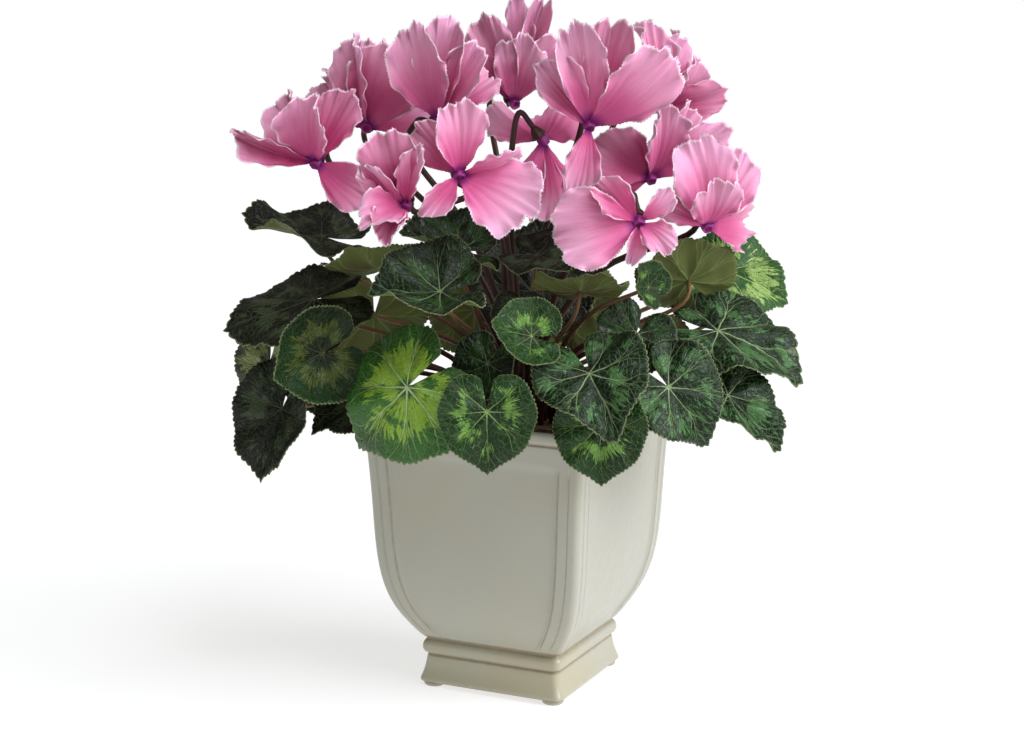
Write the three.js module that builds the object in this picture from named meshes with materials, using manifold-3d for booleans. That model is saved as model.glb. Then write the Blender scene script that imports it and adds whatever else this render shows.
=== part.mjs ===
// A florist's cyclamen in a square glazed planter. Millimetres, Z up, origin under the middle of the
// pot on the surface it stands on, with the pot's four sides square to X and Y.
// The plant shows its face to one corner of the pot, so its leaves and blooms are placed in
// directions of their own: across (to the right), toward (to whoever looks at it) and up.
import * as THREE from 'three';
import { mergeVertices } from 'three/addons/utils/BufferGeometryUtils.js';
import Module from 'manifold-3d';

const wasm = await Module();
wasm.setup();

// Driving dimensions
const FACE_TURN = THREE.MathUtils.degToRad(25.4);
const SEAT_GAP = 0.3;

const POT_CORNER = 5;
const POT_STRIP = 17;
const POT_FILLET = 1.8;
const RIM_TOP = 197.2;
const FOOT_BOTTOM = 3.1;
const PANEL_RECESS = 1.6;
const NUB_RADIUS = 7.5;
const NUB_TAPER = 1.2;
const NUB_SIDES = 8;
const NUB_ROOT = 2;
const NUB_REACH = 45.5;

const SOIL_TOP = 183;
const TUBER_TOP = 187;
const TUBER_BOTTOM = 158;
const TUBER_CROWN = 34;
const TUBER_SIDES = 16;

const BLADE_THICK = 0.8;
const PETIOLE_RADIUS = 1.7;
const PETIOLE_STEPS = 5;
const STEM_SIDES = 5;

const PETAL_THICK = 0.8;
const MOUTH_RADIUS = 3.8;
const MOUTH_DEPTH = 4.4;
const MOUTH_SIDES = 6;
const MOUTH_ROOT = 3;
const CALYX_LENGTH = 7;
const CALYX_RADIUS = 4;
const CALYX_SIDES = 6;
const SCAPE_RADIUS = 2.1;
const SCAPE_STEPS = 9;

// Each scape rises straight from the crown, goes over to its neck and hooks over to the calyx
const SCAPE_RISE = 45;
const SCAPE_LEAN = 0.4;
const SCAPE_BULGE = 24;
const HOOK_HEIGHT = 13;
const HOOK_WIDTH = 3;
const NECK_WIDTH = 6;
const NECK_DROP = 22;

// Each petiole rises straight from the crown and comes up to the back of its blade
const PETIOLE_LEAST_RISE = 26;
const PETIOLE_RISE_SHARE = 0.6;
const PETIOLE_RISE_MORE = 16;
const PETIOLE_ARRIVAL = 0.3;
const PETIOLE_SINK = 0.05;

// Directions of the plant's face
const ACROSS = new THREE.Vector3(Math.cos(FACE_TURN), Math.sin(FACE_TURN), 0);
const TOWARD = new THREE.Vector3(Math.sin(FACE_TURN), -Math.cos(FACE_TURN), 0);
const UP = new THREE.Vector3(0, 0, 1);

function toPot([across, toward, up]) {
  return new THREE.Vector3()
    .addScaledVector(ACROSS, across)
    .addScaledVector(TOWARD, toward)
    .addScaledVector(UP, up);
}

// A seeded draw between -1 and 1
function makeDraw(seed) {
  let state = seed * 2654435761 + 12345;
  return () => {
    state = (Math.imul(state, 1664525) + 1013904223) >>> 0;
    return state / 2147483648 - 1;
  };
}

// Solids for joining and cutting
function toSolid(geometry) {
  const bare = geometry.index ? geometry.toNonIndexed() : geometry.clone();
  bare.deleteAttribute('normal');
  bare.deleteAttribute('uv');
  const merged = mergeVertices(bare, 1e-4);
  return new wasm.Manifold(new wasm.Mesh({
    numProp: 3,
    vertProperties: merged.attributes.position.array,
    triVerts: new Uint32Array(merged.index.array),
  }));
}

function toGeometry(solid) {
  const mesh = solid.getMesh();
  const geometry = new THREE.BufferGeometry();
  geometry.setAttribute('position', new THREE.BufferAttribute(new Float32Array(mesh.vertProperties), 3));
  geometry.setIndex(new THREE.BufferAttribute(new Uint32Array(mesh.triVerts), 1));
  return geometry;
}

// The largest body of a solid, without loose scraps
function mainBody(solid) {
  return solid.decompose().reduce((most, body) => (body.volume() > most.volume() ? body : most));
}

function meshGeometry(points, faces) {
  const geometry = new THREE.BufferGeometry().setFromPoints(points);
  geometry.setIndex(faces.flat());
  return geometry;
}

// A solid through rings of the same count of points, from the lowest ring to the highest
function loft(rings) {
  const count = rings[0].length;
  const points = rings.flat();
  const faces = [];
  for (let ring = 0; ring < rings.length - 1; ring += 1) {
    for (let i = 0; i < count; i += 1) {
      const next = (i + 1) % count;
      const low = ring * count;
      const high = low + count;
      faces.push([low + i, low + next, high + next], [low + i, high + next, high + i]);
    }
  }
  const middle = (ring) => ring.reduce((sum, p) => sum.add(p), new THREE.Vector3()).divideScalar(count);
  const bottom = points.push(middle(rings[0])) - 1;
  const top = points.push(middle(rings[rings.length - 1])) - 1;
  const last = (rings.length - 1) * count;
  for (let i = 0; i < count; i += 1) {
    const next = (i + 1) % count;
    faces.push([bottom, next, i], [top, last + i, last + next]);
  }
  return toSolid(meshGeometry(points, faces));
}

// A blade between rows of points: each row is zipped to the next, and both faces get the same triangles
function zipRows(rows) {
  const faces = [];
  let start = 0;
  for (let r = 0; r < rows.length - 1; r += 1) {
    const near = rows[r].length;
    const far = rows[r + 1].length;
    const second = start + near;
    let i = 0;
    let j = 0;
    while (i < near - 1 || j < far - 1) {
      const stepNear = i < near - 1 ? (i + 1) / (near - 1) : Infinity;
      const stepFar = j < far - 1 ? (j + 1) / (far - 1) : Infinity;
      if (stepFar <= stepNear) {
        faces.push([start + i, second + j, second + j + 1]);
        j += 1;
      } else {
        faces.push([start + i, second + j, start + i + 1]);
        i += 1;
      }
    }
    start = second;
  }
  return faces;
}

function rimOf(rows) {
  const starts = rows.map((row, r) => rows.slice(0, r).reduce((sum, each) => sum + each.length, 0));
  const last = rows.length - 1;
  const rim = rows.slice(0, last).map((row, r) => starts[r]);
  rows[last].forEach((point, i) => rim.push(starts[last] + i));
  for (let r = last - 1; r >= 0; r -= 1) {
    for (let i = rows[r].length - 1; i > 0; i -= 1) {
      if (r === 0 || i === rows[r].length - 1) rim.push(starts[r] + i);
    }
  }
  return rim;
}

function blade(rows, thickness) {
  const middle = rows.flat();
  const faces = zipRows(rows);
  const normals = middle.map(() => new THREE.Vector3());
  for (const [a, b, c] of faces) {
    const edge = middle[b].clone().sub(middle[a]);
    const normal = edge.cross(middle[c].clone().sub(middle[a])).normalize();
    for (const corner of [a, b, c]) normals[corner].add(normal);
  }
  normals.forEach((normal) => normal.normalize());
  const half = thickness / 2;
  const points = [
    ...middle.map((p, i) => p.clone().addScaledVector(normals[i], half)),
    ...middle.map((p, i) => p.clone().addScaledVector(normals[i], -half)),
  ];
  const count = middle.length;
  const solidFaces = [];
  for (const [a, b, c] of faces) solidFaces.push([a, b, c], [count + a, count + c, count + b]);
  const rim = rimOf(rows);
  rim.forEach((a, i) => {
    const b = rim[(i + 1) % rim.length];
    solidFaces.push([a, count + a, count + b], [a, count + b, b]);
  });
  return toSolid(meshGeometry(points, solidFaces));
}

// A stem along a curve, with flat ends
function stem(curve, radius, steps) {
  const section = new THREE.Shape();
  for (let i = 0; i < STEM_SIDES; i += 1) {
    const angle = (i / STEM_SIDES) * Math.PI * 2;
    if (i === 0) section.moveTo(radius, 0);
    else section.lineTo(radius * Math.cos(angle), radius * Math.sin(angle));
  }
  return toSolid(new THREE.ExtrudeGeometry(section, { extrudePath: curve, steps, bevelEnabled: false }));
}

// The pot: rings of a square with round corners, raised strips beside them and a panel set back
function squareRing(z, half, corner, recess) {
  const ring = [];
  const flat = half - corner;
  const strip = half - POT_STRIP;
  for (let side = 0; side < 4; side += 1) {
    const turn = (side * Math.PI) / 2;
    const local = [[-flat, -half]];
    if (recess !== null) {
      local.push([-strip, -half], [-strip + POT_FILLET, recess - half]);
      local.push([strip - POT_FILLET, recess - half], [strip, -half]);
    }
    local.push([flat, -half]);
    for (const angle of [30, 60]) {
      const bend = THREE.MathUtils.degToRad(angle - 90);
      local.push([flat + corner * Math.cos(bend), corner * Math.sin(bend) - flat]);
    }
    for (const [x, y] of local) {
      ring.push(new THREE.Vector3(x, y, z).applyAxisAngle(UP, turn));
    }
  }
  return ring;
}

// Body profile: height, half width and how far the panels are set back
const BODY_PROFILE = [
  [35.4, 51.2, 0], [36.8, 53.2, 0.6], [41, 56.2, PANEL_RECESS], [48, 60.7, PANEL_RECESS],
  [58, 66.5, PANEL_RECESS], [71, 71.4, PANEL_RECESS], [88, 75, PANEL_RECESS], [112, 77, PANEL_RECESS],
  [140, 78, PANEL_RECESS], [169, 79.9, 1.4], [173, 80.2, 0.2], [182, 81.4, 0], [187, 82.6, 0],
  [188.2, 82, 0], [189.4, 83.7, 0], [194, 84.8, 0], [RIM_TOP, 83.8, 0],
];
const FOOT_PROFILE = [
  [FOOT_BOTTOM, 53.6], [5, 54.4], [9, 53], [15, 51.4], [22.4, 50.6], [23.4, 49.9],
  [24.8, 52.2], [27.6, 53], [30.6, 53], [34, 50.6], [38, 50.2],
];
const CAVITY_PROFILE = [
  [46, 42], [53, 51], [64, 61.5], [82, 68], [112, 70.8], [172, 74], [188, 77.8], [RIM_TOP + 1, 81.2],
];

function potSolid() {
  const body = loft(BODY_PROFILE.map(([z, half, recess]) => squareRing(z, half, POT_CORNER, recess)));
  const foot = loft(FOOT_PROFILE.map(([z, half]) => squareRing(z, half, POT_CORNER - 1, null)));
  const cavity = loft(CAVITY_PROFILE.map(([z, half]) => squareRing(z, half, POT_CORNER + 3, null)));
  let pot = body.add(foot).subtract(cavity);
  const nubHeight = FOOT_BOTTOM + NUB_ROOT;
  for (const [sideX, sideY] of [[1, 1], [1, -1], [-1, 1], [-1, -1]]) {
    const nub = new THREE.CylinderGeometry(NUB_RADIUS, NUB_RADIUS - NUB_TAPER, nubHeight, NUB_SIDES);
    nub.rotateX(Math.PI / 2);
    nub.translate(sideX * NUB_REACH, sideY * NUB_REACH, nubHeight / 2);
    pot = pot.add(toSolid(nub));
  }
  return pot;
}

// The tuber is turned about Z, and the soil fills the pot round it
function tuberProfile(grow) {
  return [
    [0, TUBER_BOTTOM - grow], [20 + grow, TUBER_BOTTOM + 1.5 - grow], [TUBER_CROWN + grow, 166],
    [39 + grow, 176], [38 + grow, 183], [TUBER_CROWN + grow, TUBER_TOP + grow], [0, TUBER_TOP + grow],
  ];
}

function tuberSolid(grow) {
  const profile = tuberProfile(grow).map(([r, z]) => new THREE.Vector2(r, z));
  return toSolid(new THREE.LatheGeometry(profile, TUBER_SIDES).rotateX(Math.PI / 2));
}

function soilSolid() {
  const inside = CAVITY_PROFILE.filter(([z]) => z < SOIL_TOP - 1);
  const upper = CAVITY_PROFILE.find(([z]) => z > SOIL_TOP);
  const lower = inside[inside.length - 1];
  const share = (SOIL_TOP - lower[0]) / (upper[0] - lower[0]);
  const topHalf = lower[1] + (upper[1] - lower[1]) * share;
  const profile = inside.map(([z, half], i) => [i === 0 ? z + SEAT_GAP : z, half - SEAT_GAP * 1.5]);
  profile.push([SOIL_TOP, topHalf - SEAT_GAP * 1.5]);
  return loft(profile.map(([z, half]) => squareRing(z, half, POT_CORNER + 3, null)))
    .subtract(tuberSolid(SEAT_GAP));
}

// Leaves: where the stalk meets the blade, from there to the tip, the way the upper face looks,
// then how much the blade cups, folds along its midrib, droops at the tip, waves at its edge and
// twists about its midrib, and how slim it is.
const LEAVES = [
  { at: [-138, -15, 311], tip: [-52, 8, 10], face: [-0.05, 0.26, 0.96],
    fold: 0.12, droop: -0.1, wave: 0.16, twist: 0.15, slim: 0.85 },
  { at: [-141, 24, 273], tip: [-62, 10, -14], face: [-0.15, 0.41, 0.88],
    size: 0.93, fold: -0.16, cup: 0.02, droop: 0.1, wave: 0.1 },
  { at: [-131, 73, 245], tip: [-36, 18, -14], face: [0.8, 0.55, 0.3], cup: 0.5, size: 0.92 },
  { at: [-174, 3, 224], tip: [-6, 8, -44], face: [-0.8, 0.5, 0.3], fold: 0.14, wave: 0.09 },
  { at: [-160, 55, 204], tip: [-17, 8, -45], face: [-0.5, 0.8, 0.35], fold: 0.3, slim: 0.76 },
  { at: [-143, 16, 221], tip: [4, 10, -32], face: [-0.1, 0.85, 0.5], wave: 0.08, size: 0.84 },
  { at: [-73, 118, 231], tip: [-41, -2, -35], face: [-0.3, 0.9, 0.3],
    cup: -0.42, fold: -0.08, droop: 0, wave: 0.05 },
  { at: [-106, 56, 208], tip: [-34, 8, -9], face: [-0.3, 0.5, 0.8], cup: -0.05, wave: 0.1 },
  { at: [-52, 108, 291], tip: [-43, 6, 1], face: [0.1, 0.52, 0.84], cup: 0.26, fold: 0.22, wave: 0.14 },
  { at: [-41, 50, 311], tip: [-37, 10, 12], face: [0.35, 0.4, 0.84], cup: 0.24, fold: 0.14, wave: 0.1 },
  { at: [-94, 38, 296], tip: [-36, 20, 4], face: [0.05, -0.45, 0.88], cup: 0.2 },
  { at: [-22, 84, 240], tip: [-15, 6, -28], face: [-0.5, 0.75, 0.4], fold: 0.2, size: 0.92 },
  { at: [6, 118, 264], tip: [-24, 6, 6], face: [0.1, 0.82, 0.56], cup: 0.4, size: 1.12 },
  { at: [-22, 136, 219], tip: [0, 6, -39], face: [0, 0.93, 0.32], cup: -0.06, fold: 0.12, size: 0.96 },
  { at: [43, 119, 240], tip: [14, 32, -26], face: [-0.05, 0.75, 0.65],
    cup: -0.06, fold: 0.3, size: 1.04, wave: 0.17 },
  { at: [50, 120, 207], tip: [0, 8, -36], face: [-0.1, 0.9, 0.35], cup: -0.1, fold: 0.14 },
  { at: [95, 92, 226], tip: [29, 10, -29], face: [0.15, 0.8, 0.5], fold: 0.34, cup: -0.2, wave: 0.12 },
  { at: [137, 60, 214], tip: [39, 6, -33], face: [0.3, 0.5, 0.8], fold: 0.2, slim: 0.76, size: 0.94 },
  { at: [133, 28, 252], tip: [57, 12, -12], face: [0, 0.36, 0.93],
    cup: -0.1, fold: 0.14, droop: 0.16, wave: 0.12 },
  { at: [146, -45, 283], tip: [43, 6, -13], face: [0.2, 0.72, 0.64], cup: -0.1, fold: 0.08, wave: 0.12 },
  { at: [81, 95, 292], tip: [-10, 5, 13], face: [0, 0.7, 0.7], cup: 0.5, size: 1.1 },
  { at: [38, 66, 285], tip: [0, 32, 14], face: [0.05, -0.45, 0.88], cup: 0.1, size: 1.1, wave: 0.1 },
  { at: [112, 32, 287], tip: [-18, 26, 28], face: [-0.2, -0.6, 0.7], cup: 0.1, wave: 0.1 },
  { at: [10, 51, 307], tip: [29, 16, -3], face: [-0.05, 0.43, 0.89], cup: 0.14, wave: 0.1 },
  { at: [-1, 62, 270], tip: [-1, 8, -32], face: [-0.1, 0.85, 0.4], cup: 0.1, fold: 0.1, size: 0.7 },
  { at: [148, -68, 250], tip: [36, -14, -26], face: [0.4, -0.2, 0.9], cup: 0.05 },
  { at: [96, -92, 224], tip: [28, -28, -28], face: [0.3, -0.6, 0.75], fold: 0.1 },
  { at: [38, -78, 259], tip: [0, -8, -44], face: [0, -0.9, 0.4], cup: 0.08, size: 0.88 },
  { at: [-4, -128, 220], tip: [-4, -32, -38], face: [0, -0.8, 0.6], cup: 0.03 },
  { at: [-34, -84, 249], tip: [0, -10, -46], face: [0, -0.9, 0.4], wave: 0.1, size: 0.9 },
  { at: [-106, -68, 248], tip: [-6, -12, -44], face: [-0.2, -0.9, 0.4], fold: 0.12, size: 1.08 },
  { at: [76, 58, 255], tip: [-14, 24, -24], face: [0.1, 0.8, 0.6], cup: 0.12, wave: 0.12, size: 0.92 },
  { at: [8, -46, 268], tip: [6, -20, 36], face: [0, 0.85, 0.4], cup: 0.1, wave: 0.1, size: 1.3 },
];

// Blooms: the mouth, the way the bloom looks, and from the mouth to the tip of each petal with the
// share of its length that it is wide, and the turn about its own length.
const BLOOMS = [
  { name: 'a', mouth: [-138, 20, 365], show: [-0.4, 0.8, 0.1],
    petals: [[-51, 8, 21, 0.32], [-18, -6, 44, 0.7], [2, 22, 46, 0.75],
      [24, -4, 45, 0.6], [38, 10, -24, 0.7]] },
  { name: 'b', mouth: [-107, -28, 385], show: [-0.3, 0.7, 0], stalk: [0, -1, 0.2],
    petals: [[-6, 4, 60, 0.5], [25, 14, 51, 0.9], [4, -26, 56, 0.6],
      [41, -14, 12], [-30, -30, 30]] },
  { name: 'c', mouth: [-55, 12, 393], show: [-0.1, 0.9, 0], stalk: [-0.6, -0.75, -0.1],
    petals: [[-17, 14, 61, 0.62], [8, -8, 64, 0.58], [27, 6, 48, 0.5],
      [30, -30, 30], [4, -46, 34]] },
  { name: 'd', mouth: [-5, -60, 400], show: [0, 0.6, 0], stalk: [-0.5, -0.7, 0.4],
    petals: [[-22, 6, 58, 0.56], [6, 22, 46, 0.7], [31, -2, 42, 0.5],
      [2, -14, 74, 0.26], [20, -20, 67, 0.26]] },
  { name: 'e', mouth: [44, 50, 392], show: [0.2, 0.9, 0],
    petals: [[-12, 10, 64, 0.5], [16, -14, 64, 0.5], [50, 16, 45, 0.66],
      [-10, 12, -44, 0.5], [-32, -2, 38, 0.66]] },
  { name: 'f', mouth: [93, -45, 398], show: [0.4, 0.3, 0], stalk: [-0.7, -0.3, 0.2],
    petals: [[-12, 4, 56, 0.45], [14, -8, 50, 0.5], [28, 4, 34, 0.6],
      [48, 8, 10, 0.45], [10, -40, 30]] },
  { name: 'g', mouth: [87, 14, 354], show: [0.3, 0.85, 0],
    petals: [[-36, 14, 26, 0.85], [4, 16, 50, 0.7], [26, -16, 46, 0.6],
      [50, 2, 32, 0.45], [-30, -6, -8, 0.5]] },
  { name: 'h', mouth: [121, 60, 327], show: [0.3, 0.85, 0.2],
    petals: [[-10, 6, 55, 0.85], [4, 24, 32, 0.9], [25, -6, 45, 0.65],
      [-32, 10, 16, 0.45], [30, -40, -4]] },
  { name: 'i', mouth: [74, 105, 335], show: [0.1, 0.9, 0.2], via: [20, 22, 331],
    petals: [[-52, 12, -5, 0.95], [-30, 4, 22, 0.7], [18, 18, -16, 0.75],
      [-7, 10, -25, 0.5], [20, 4, 20, 0.5]] },
  { name: 'j', mouth: [-40, 86, 363], show: [0.1, 0.9, 0.1], via: [-14, 26, 334],
    petals: [[-2, 12, 46, 0.76, 16], [45, 20, -24, 1.0, -14], [38, 2, 14, 0.6, 20],
      [-25, 10, -22, 0.55], [-26, -6, 30, 0.7]] },
  { name: 'k', mouth: [-74, 92, 344], show: [-0.2, 0.9, 0.2], via: [-18, 8, 336],
    petals: [[-13, 8, 46, 0.75], [10, 14, 38, 0.45], [-26, 26, -9, 0.8],
      [-12, 24, -21, 0.7], [-27, 6, 25, 0.5]] },
  { name: 'm', mouth: [14, 45, 382], show: [0, -0.6, -0.5],
    stalk: [-0.55, 0.25, 0.75], hook: [-0.75, -0.55, 0], via: [-8, 20, 336],
    petals: [[-18, 22, -36, 0.5], [-2, 10, -50, 0.5], [16, 4, -46, 0.5],
      [-32, -14, 24, 0.72], [14, -40, 26, 0.75]] },
];

// The crown: each stem's seat on the tuber, in rings, in the order of the stems' own directions
const LEAF_RINGS = [[20.5, 14], [29, 19]];
const SCAPE_RINGS = [[5.2, 4], [13, 8]];

function seatsFor(targets, rings, steepness) {
  const order = targets.map((target, i) => i).sort((a, b) => steepness(targets[b]) - steepness(targets[a]));
  const seats = [];
  let start = 0;
  for (const [radius, count] of rings) {
    const members = order.slice(start, start + count);
    start += count;
    const bearing = (i) => Math.atan2(targets[i].y, targets[i].x);
    members.sort((a, b) => bearing(a) - bearing(b));
    let shift = 0;
    members.forEach((member, slot) => {
      shift += bearing(member) - (slot / members.length) * Math.PI * 2;
    });
    shift /= members.length;
    members.forEach((member, slot) => {
      const angle = shift + (slot / members.length) * Math.PI * 2;
      const foot = TUBER_TOP + SEAT_GAP;
      seats[member] = new THREE.Vector3(radius * Math.cos(angle), radius * Math.sin(angle), foot);
    });
  }
  return seats;
}

const steepnessOf = (target) => (target.z - TUBER_TOP) / Math.hypot(target.x, target.y);

// Outline of a leaf blade: reach from the stalk at an angle from the tip, as a share of the length
const LEAF_OUTLINE = [
  [0, 1], [12, 0.94], [35, 0.88], [65, 0.84], [95, 0.82], [125, 0.8], [145, 0.76], [160, 0.66], [172, 0.5],
];
const LEAF_SPAN = 170;
const INNER_POINTS = 10;
const INNER_SHARE = 0.55;
const TIP_SHARE = 1.04;
const WAVES = 5;
const TEETH_DEPTH = 0.035;

function along(table, x) {
  const last = table.length - 1;
  const i = Math.max(1, Math.min(last, table.findIndex(([at]) => at >= x)));
  const [x0, y0] = table[i - 1];
  const [x1, y1] = table[i];
  return y0 + ((y1 - y0) * (x - x0)) / (x1 - x0);
}

function frameOf(direction, face) {
  const x = direction.clone().normalize();
  const z = face.clone().addScaledVector(x, -face.dot(x)).normalize();
  const y = z.clone().cross(x);
  return new THREE.Matrix4().makeBasis(x, y, z);
}

function leafSurface(leaf, draw) {
  const phase = draw() * Math.PI;
  const cup = leaf.cup ?? 0.06;
  const fold = leaf.fold ?? 0.05;
  const droop = leaf.droop ?? 0.1;
  const wave = leaf.wave ?? 0.06;
  const twist = leaf.twist ?? 0;
  return (x, y) => {
    const reach = Math.hypot(x, y);
    const angle = Math.atan2(y, x);
    const bend = x > 0 ? droop * x * x : 0;
    const ripple = wave * reach * reach * Math.sin(WAVES * angle + phase);
    return cup * reach * reach + fold * Math.abs(y) + twist * x * y - bend + ripple;
  };
}

function leafRows(leaf, draw) {
  const surface = leafSurface(leaf, draw);
  const length = Math.hypot(...leaf.tip) * (leaf.size ?? 1);
  const ring = (count, share, teeth) => Array.from({ length: count }, (unused, i) => {
    const angle = THREE.MathUtils.degToRad(-LEAF_SPAN + (2 * LEAF_SPAN * i) / (count - 1));
    const tooth = teeth && i % 2 === 0 ? 1 - TEETH_DEPTH : 1 + (teeth ? TEETH_DEPTH : 0);
    const atTip = 2 * i === count - 1;
    const outline = along(LEAF_OUTLINE, Math.abs(THREE.MathUtils.radToDeg(angle)));
    const reach = outline * share * (atTip ? TIP_SHARE : tooth);
    const x = reach * Math.cos(angle);
    const y = reach * Math.sin(angle);
    return new THREE.Vector3(x, y * (leaf.slim ?? 1), surface(x, y)).multiplyScalar(length);
  });
  const outer = ring(INNER_POINTS * 2 - 1, 1, true);
  return [[new THREE.Vector3()], ring(INNER_POINTS, INNER_SHARE, false), outer];
}

function petioleCurve(seat, at, tip, face) {
  const arrive = tip.clone().normalize().multiplyScalar(0.25).addScaledVector(face, 0.97);
  const span = at.distanceTo(seat);
  const lift = Math.max(PETIOLE_LEAST_RISE, PETIOLE_RISE_SHARE * (at.z - seat.z) + PETIOLE_RISE_MORE);
  return new THREE.CubicBezierCurve3(
    seat,
    seat.clone().addScaledVector(UP, lift),
    at.clone().addScaledVector(arrive, -PETIOLE_ARRIVAL * span),
    at.clone().addScaledVector(arrive, -PETIOLE_SINK),
  );
}

function leafSolid(leaf, seat, index) {
  const draw = makeDraw(index + 1);
  const at = toPot(leaf.at);
  const tip = toPot(leaf.tip);
  const face = toPot(leaf.face).normalize();
  const place = frameOf(tip, face).setPosition(at);
  const rows = leafRows(leaf, draw).map((row) => row.map((point) => point.applyMatrix4(place)));
  const truth = new THREE.Vector3().setFromMatrixColumn(place, 2);
  const stalk = stem(petioleCurve(seat, at, tip, truth), PETIOLE_RADIUS, PETIOLE_STEPS);
  return mainBody(blade(rows, BLADE_THICK).add(stalk));
}

// Petals: rows from the mouth to the frilled end, each with its place along the length, and the
// points across it as shares of the half width
const PETAL_ROWS = [
  [0, 0.12, [-1, 1]],
  [0.28, 0.44, [-1, 1]],
  [0.58, 0.86, [-1, 0, 1]],
  [0.84, 1, [-1, -0.45, 0.45, 1]],
  [1, 0.62, [-1, -0.36, 0.36, 1]],
];
const PETAL_BOW = 0.1;
const PETAL_FRILL = 0.06;
const PETAL_ROOT = 2.6;
const PETAL_POINT = 0.05;
const PETAL_TWIST = 14;
const PETAL_BROAD = 0.66;
const PETAL_FULL = 1.12;
const PETAL_FOLD = 0.28;
const FOLD_SPREAD = 0.22;
const FOLD_DRAW_IN = 0.5;
const FOLD_CURVE = 1.2;

function petalSolid(petal, mouth, show, draw) {
  const [across, toward, up, broad = PETAL_BROAD, turn = 0] = petal;
  const tip = toPot([across, toward, up]);
  const length = tip.length();
  const width = (PETAL_FULL * broad * length) / 2;
  const lie = show.clone().addScaledVector(tip.clone().normalize(), 0.25);
  const twist = new THREE.Matrix4().makeRotationX(THREE.MathUtils.degToRad(turn + draw() * PETAL_TWIST));
  const place = frameOf(tip, lie).multiply(twist).setPosition(mouth);
  const phase = draw() > 0 ? 1 : -1;
  const fold = PETAL_FOLD + FOLD_SPREAD * draw();
  const rows = PETAL_ROWS.map(([share, broadness, points], row) => points.map((across01, i) => {
    const edge = Math.abs(across01);
    const flip = (row + i) % 2 === 0 ? phase : -phase;
    const lift = fold * share * edge ** FOLD_CURVE;
    const z = PETAL_BOW * 4 * share * (1 - share) + flip * PETAL_FRILL * share * edge * edge + lift;
    const y = across01 * broadness * width * (1 - FOLD_DRAW_IN * Math.abs(fold) * share);
    const x = share === 1 ? share + PETAL_POINT * (1 - edge) : share;
    return new THREE.Vector3(PETAL_ROOT + x * (length - PETAL_ROOT), y, z * length)
      .applyMatrix4(place);
  }));
  return blade(rows, PETAL_THICK);
}

function towards(axis) {
  return new THREE.Matrix4().makeRotationFromQuaternion(
    new THREE.Quaternion().setFromUnitVectors(UP, axis),
  );
}

function scapeAxis(bloom) {
  const show = toPot(bloom.show).normalize();
  return bloom.stalk
    ? toPot(bloom.stalk).normalize()
    : UP.clone().multiplyScalar(0.7).addScaledVector(show, -0.7).normalize();
}

function corollaSolid(bloom, index) {
  const draw = makeDraw(index + 101);
  const mouth = toPot(bloom.mouth);
  const axis = scapeAxis(bloom);
  const height = MOUTH_DEPTH + MOUTH_ROOT;
  const core = new THREE.CylinderGeometry(MOUTH_RADIUS - 1, MOUTH_RADIUS, height, MOUTH_SIDES);
  core.rotateX(Math.PI / 2).translate(0, 0, (MOUTH_DEPTH - MOUTH_ROOT) / 2);
  core.applyMatrix4(towards(axis).setPosition(mouth));
  const show = toPot(bloom.show).normalize();
  let solid = toSolid(core);
  for (const petal of bloom.petals) solid = solid.add(petalSolid(petal, mouth, show, draw));
  return mainBody(solid);
}

function scapeCurve(bloom, seat) {
  const axis = scapeAxis(bloom);
  const calyx = toPot(bloom.mouth).addScaledVector(axis, MOUTH_DEPTH + SEAT_GAP + CALYX_LENGTH - 1);
  const level = bloom.hook ? toPot(bloom.hook) : new THREE.Vector3(axis.x, axis.y, 0);
  const top = calyx.clone().addScaledVector(axis, HOOK_HEIGHT).addScaledVector(level, HOOK_WIDTH);
  const neck = top.clone().addScaledVector(level, NECK_WIDTH).addScaledVector(UP, -NECK_DROP);
  const rise = seat.clone().addScaledVector(UP, SCAPE_RISE);
  const middle = bloom.via
    ? toPot(bloom.via)
    : rise.clone().lerp(neck, SCAPE_LEAN).addScaledVector(UP, SCAPE_BULGE);
  return new THREE.CatmullRomCurve3([seat, rise, middle, neck, top, calyx], false, 'catmullrom', 0.5);
}

function scapeSolid(bloom, seat) {
  const axis = scapeAxis(bloom);
  const profile = [
    [0, 0], [CALYX_RADIUS - 0.6, 0], [CALYX_RADIUS, 2.5], [2.2, CALYX_LENGTH], [0, CALYX_LENGTH],
  ];
  const calyx = new THREE.LatheGeometry(profile.map(([r, z]) => new THREE.Vector2(r, z)), CALYX_SIDES);
  calyx.rotateX(Math.PI / 2);
  const base = toPot(bloom.mouth).addScaledVector(axis, MOUTH_DEPTH + SEAT_GAP);
  calyx.applyMatrix4(towards(axis).setPosition(base));
  return mainBody(stem(scapeCurve(bloom, seat), SCAPE_RADIUS, SCAPE_STEPS).add(toSolid(calyx)));
}

// Assembly
const part = new THREE.Group();

function addPiece(name, solid, color, roughness) {
  const material = new THREE.MeshStandardMaterial({ color, roughness, metalness: 0 });
  const mesh = new THREE.Mesh(toGeometry(solid), material);
  mesh.name = name;
  part.add(mesh);
}

const leafTargets = LEAVES.map((leaf) => toPot(leaf.at));
const leafSeats = seatsFor(leafTargets, LEAF_RINGS, steepnessOf);
const bloomTargets = BLOOMS.map((bloom) => toPot(bloom.mouth));
const scapeSeats = seatsFor(bloomTargets, SCAPE_RINGS, steepnessOf);

addPiece('pot', potSolid(), 0xcfcdc2, 0.35);
addPiece('soil', soilSolid(), 0x2c211a, 0.95);
addPiece('tuber', tuberSolid(0), 0x5d4433, 0.85);

LEAVES.forEach((leaf, i) => {
  const name = `leaf_${String(i + 1).padStart(2, '0')}`;
  addPiece(name, leafSolid(leaf, leafSeats[i], i), 0x2f5233, 0.5);
});
BLOOMS.forEach((bloom, i) => {
  addPiece(`corolla_${bloom.name}`, corollaSolid(bloom, i), 0xd9719f, 0.6);
  addPiece(`scape_${bloom.name}`, scapeSolid(bloom, scapeSeats[i]), 0x5a2a30, 0.55);
});

export default part;
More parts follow.
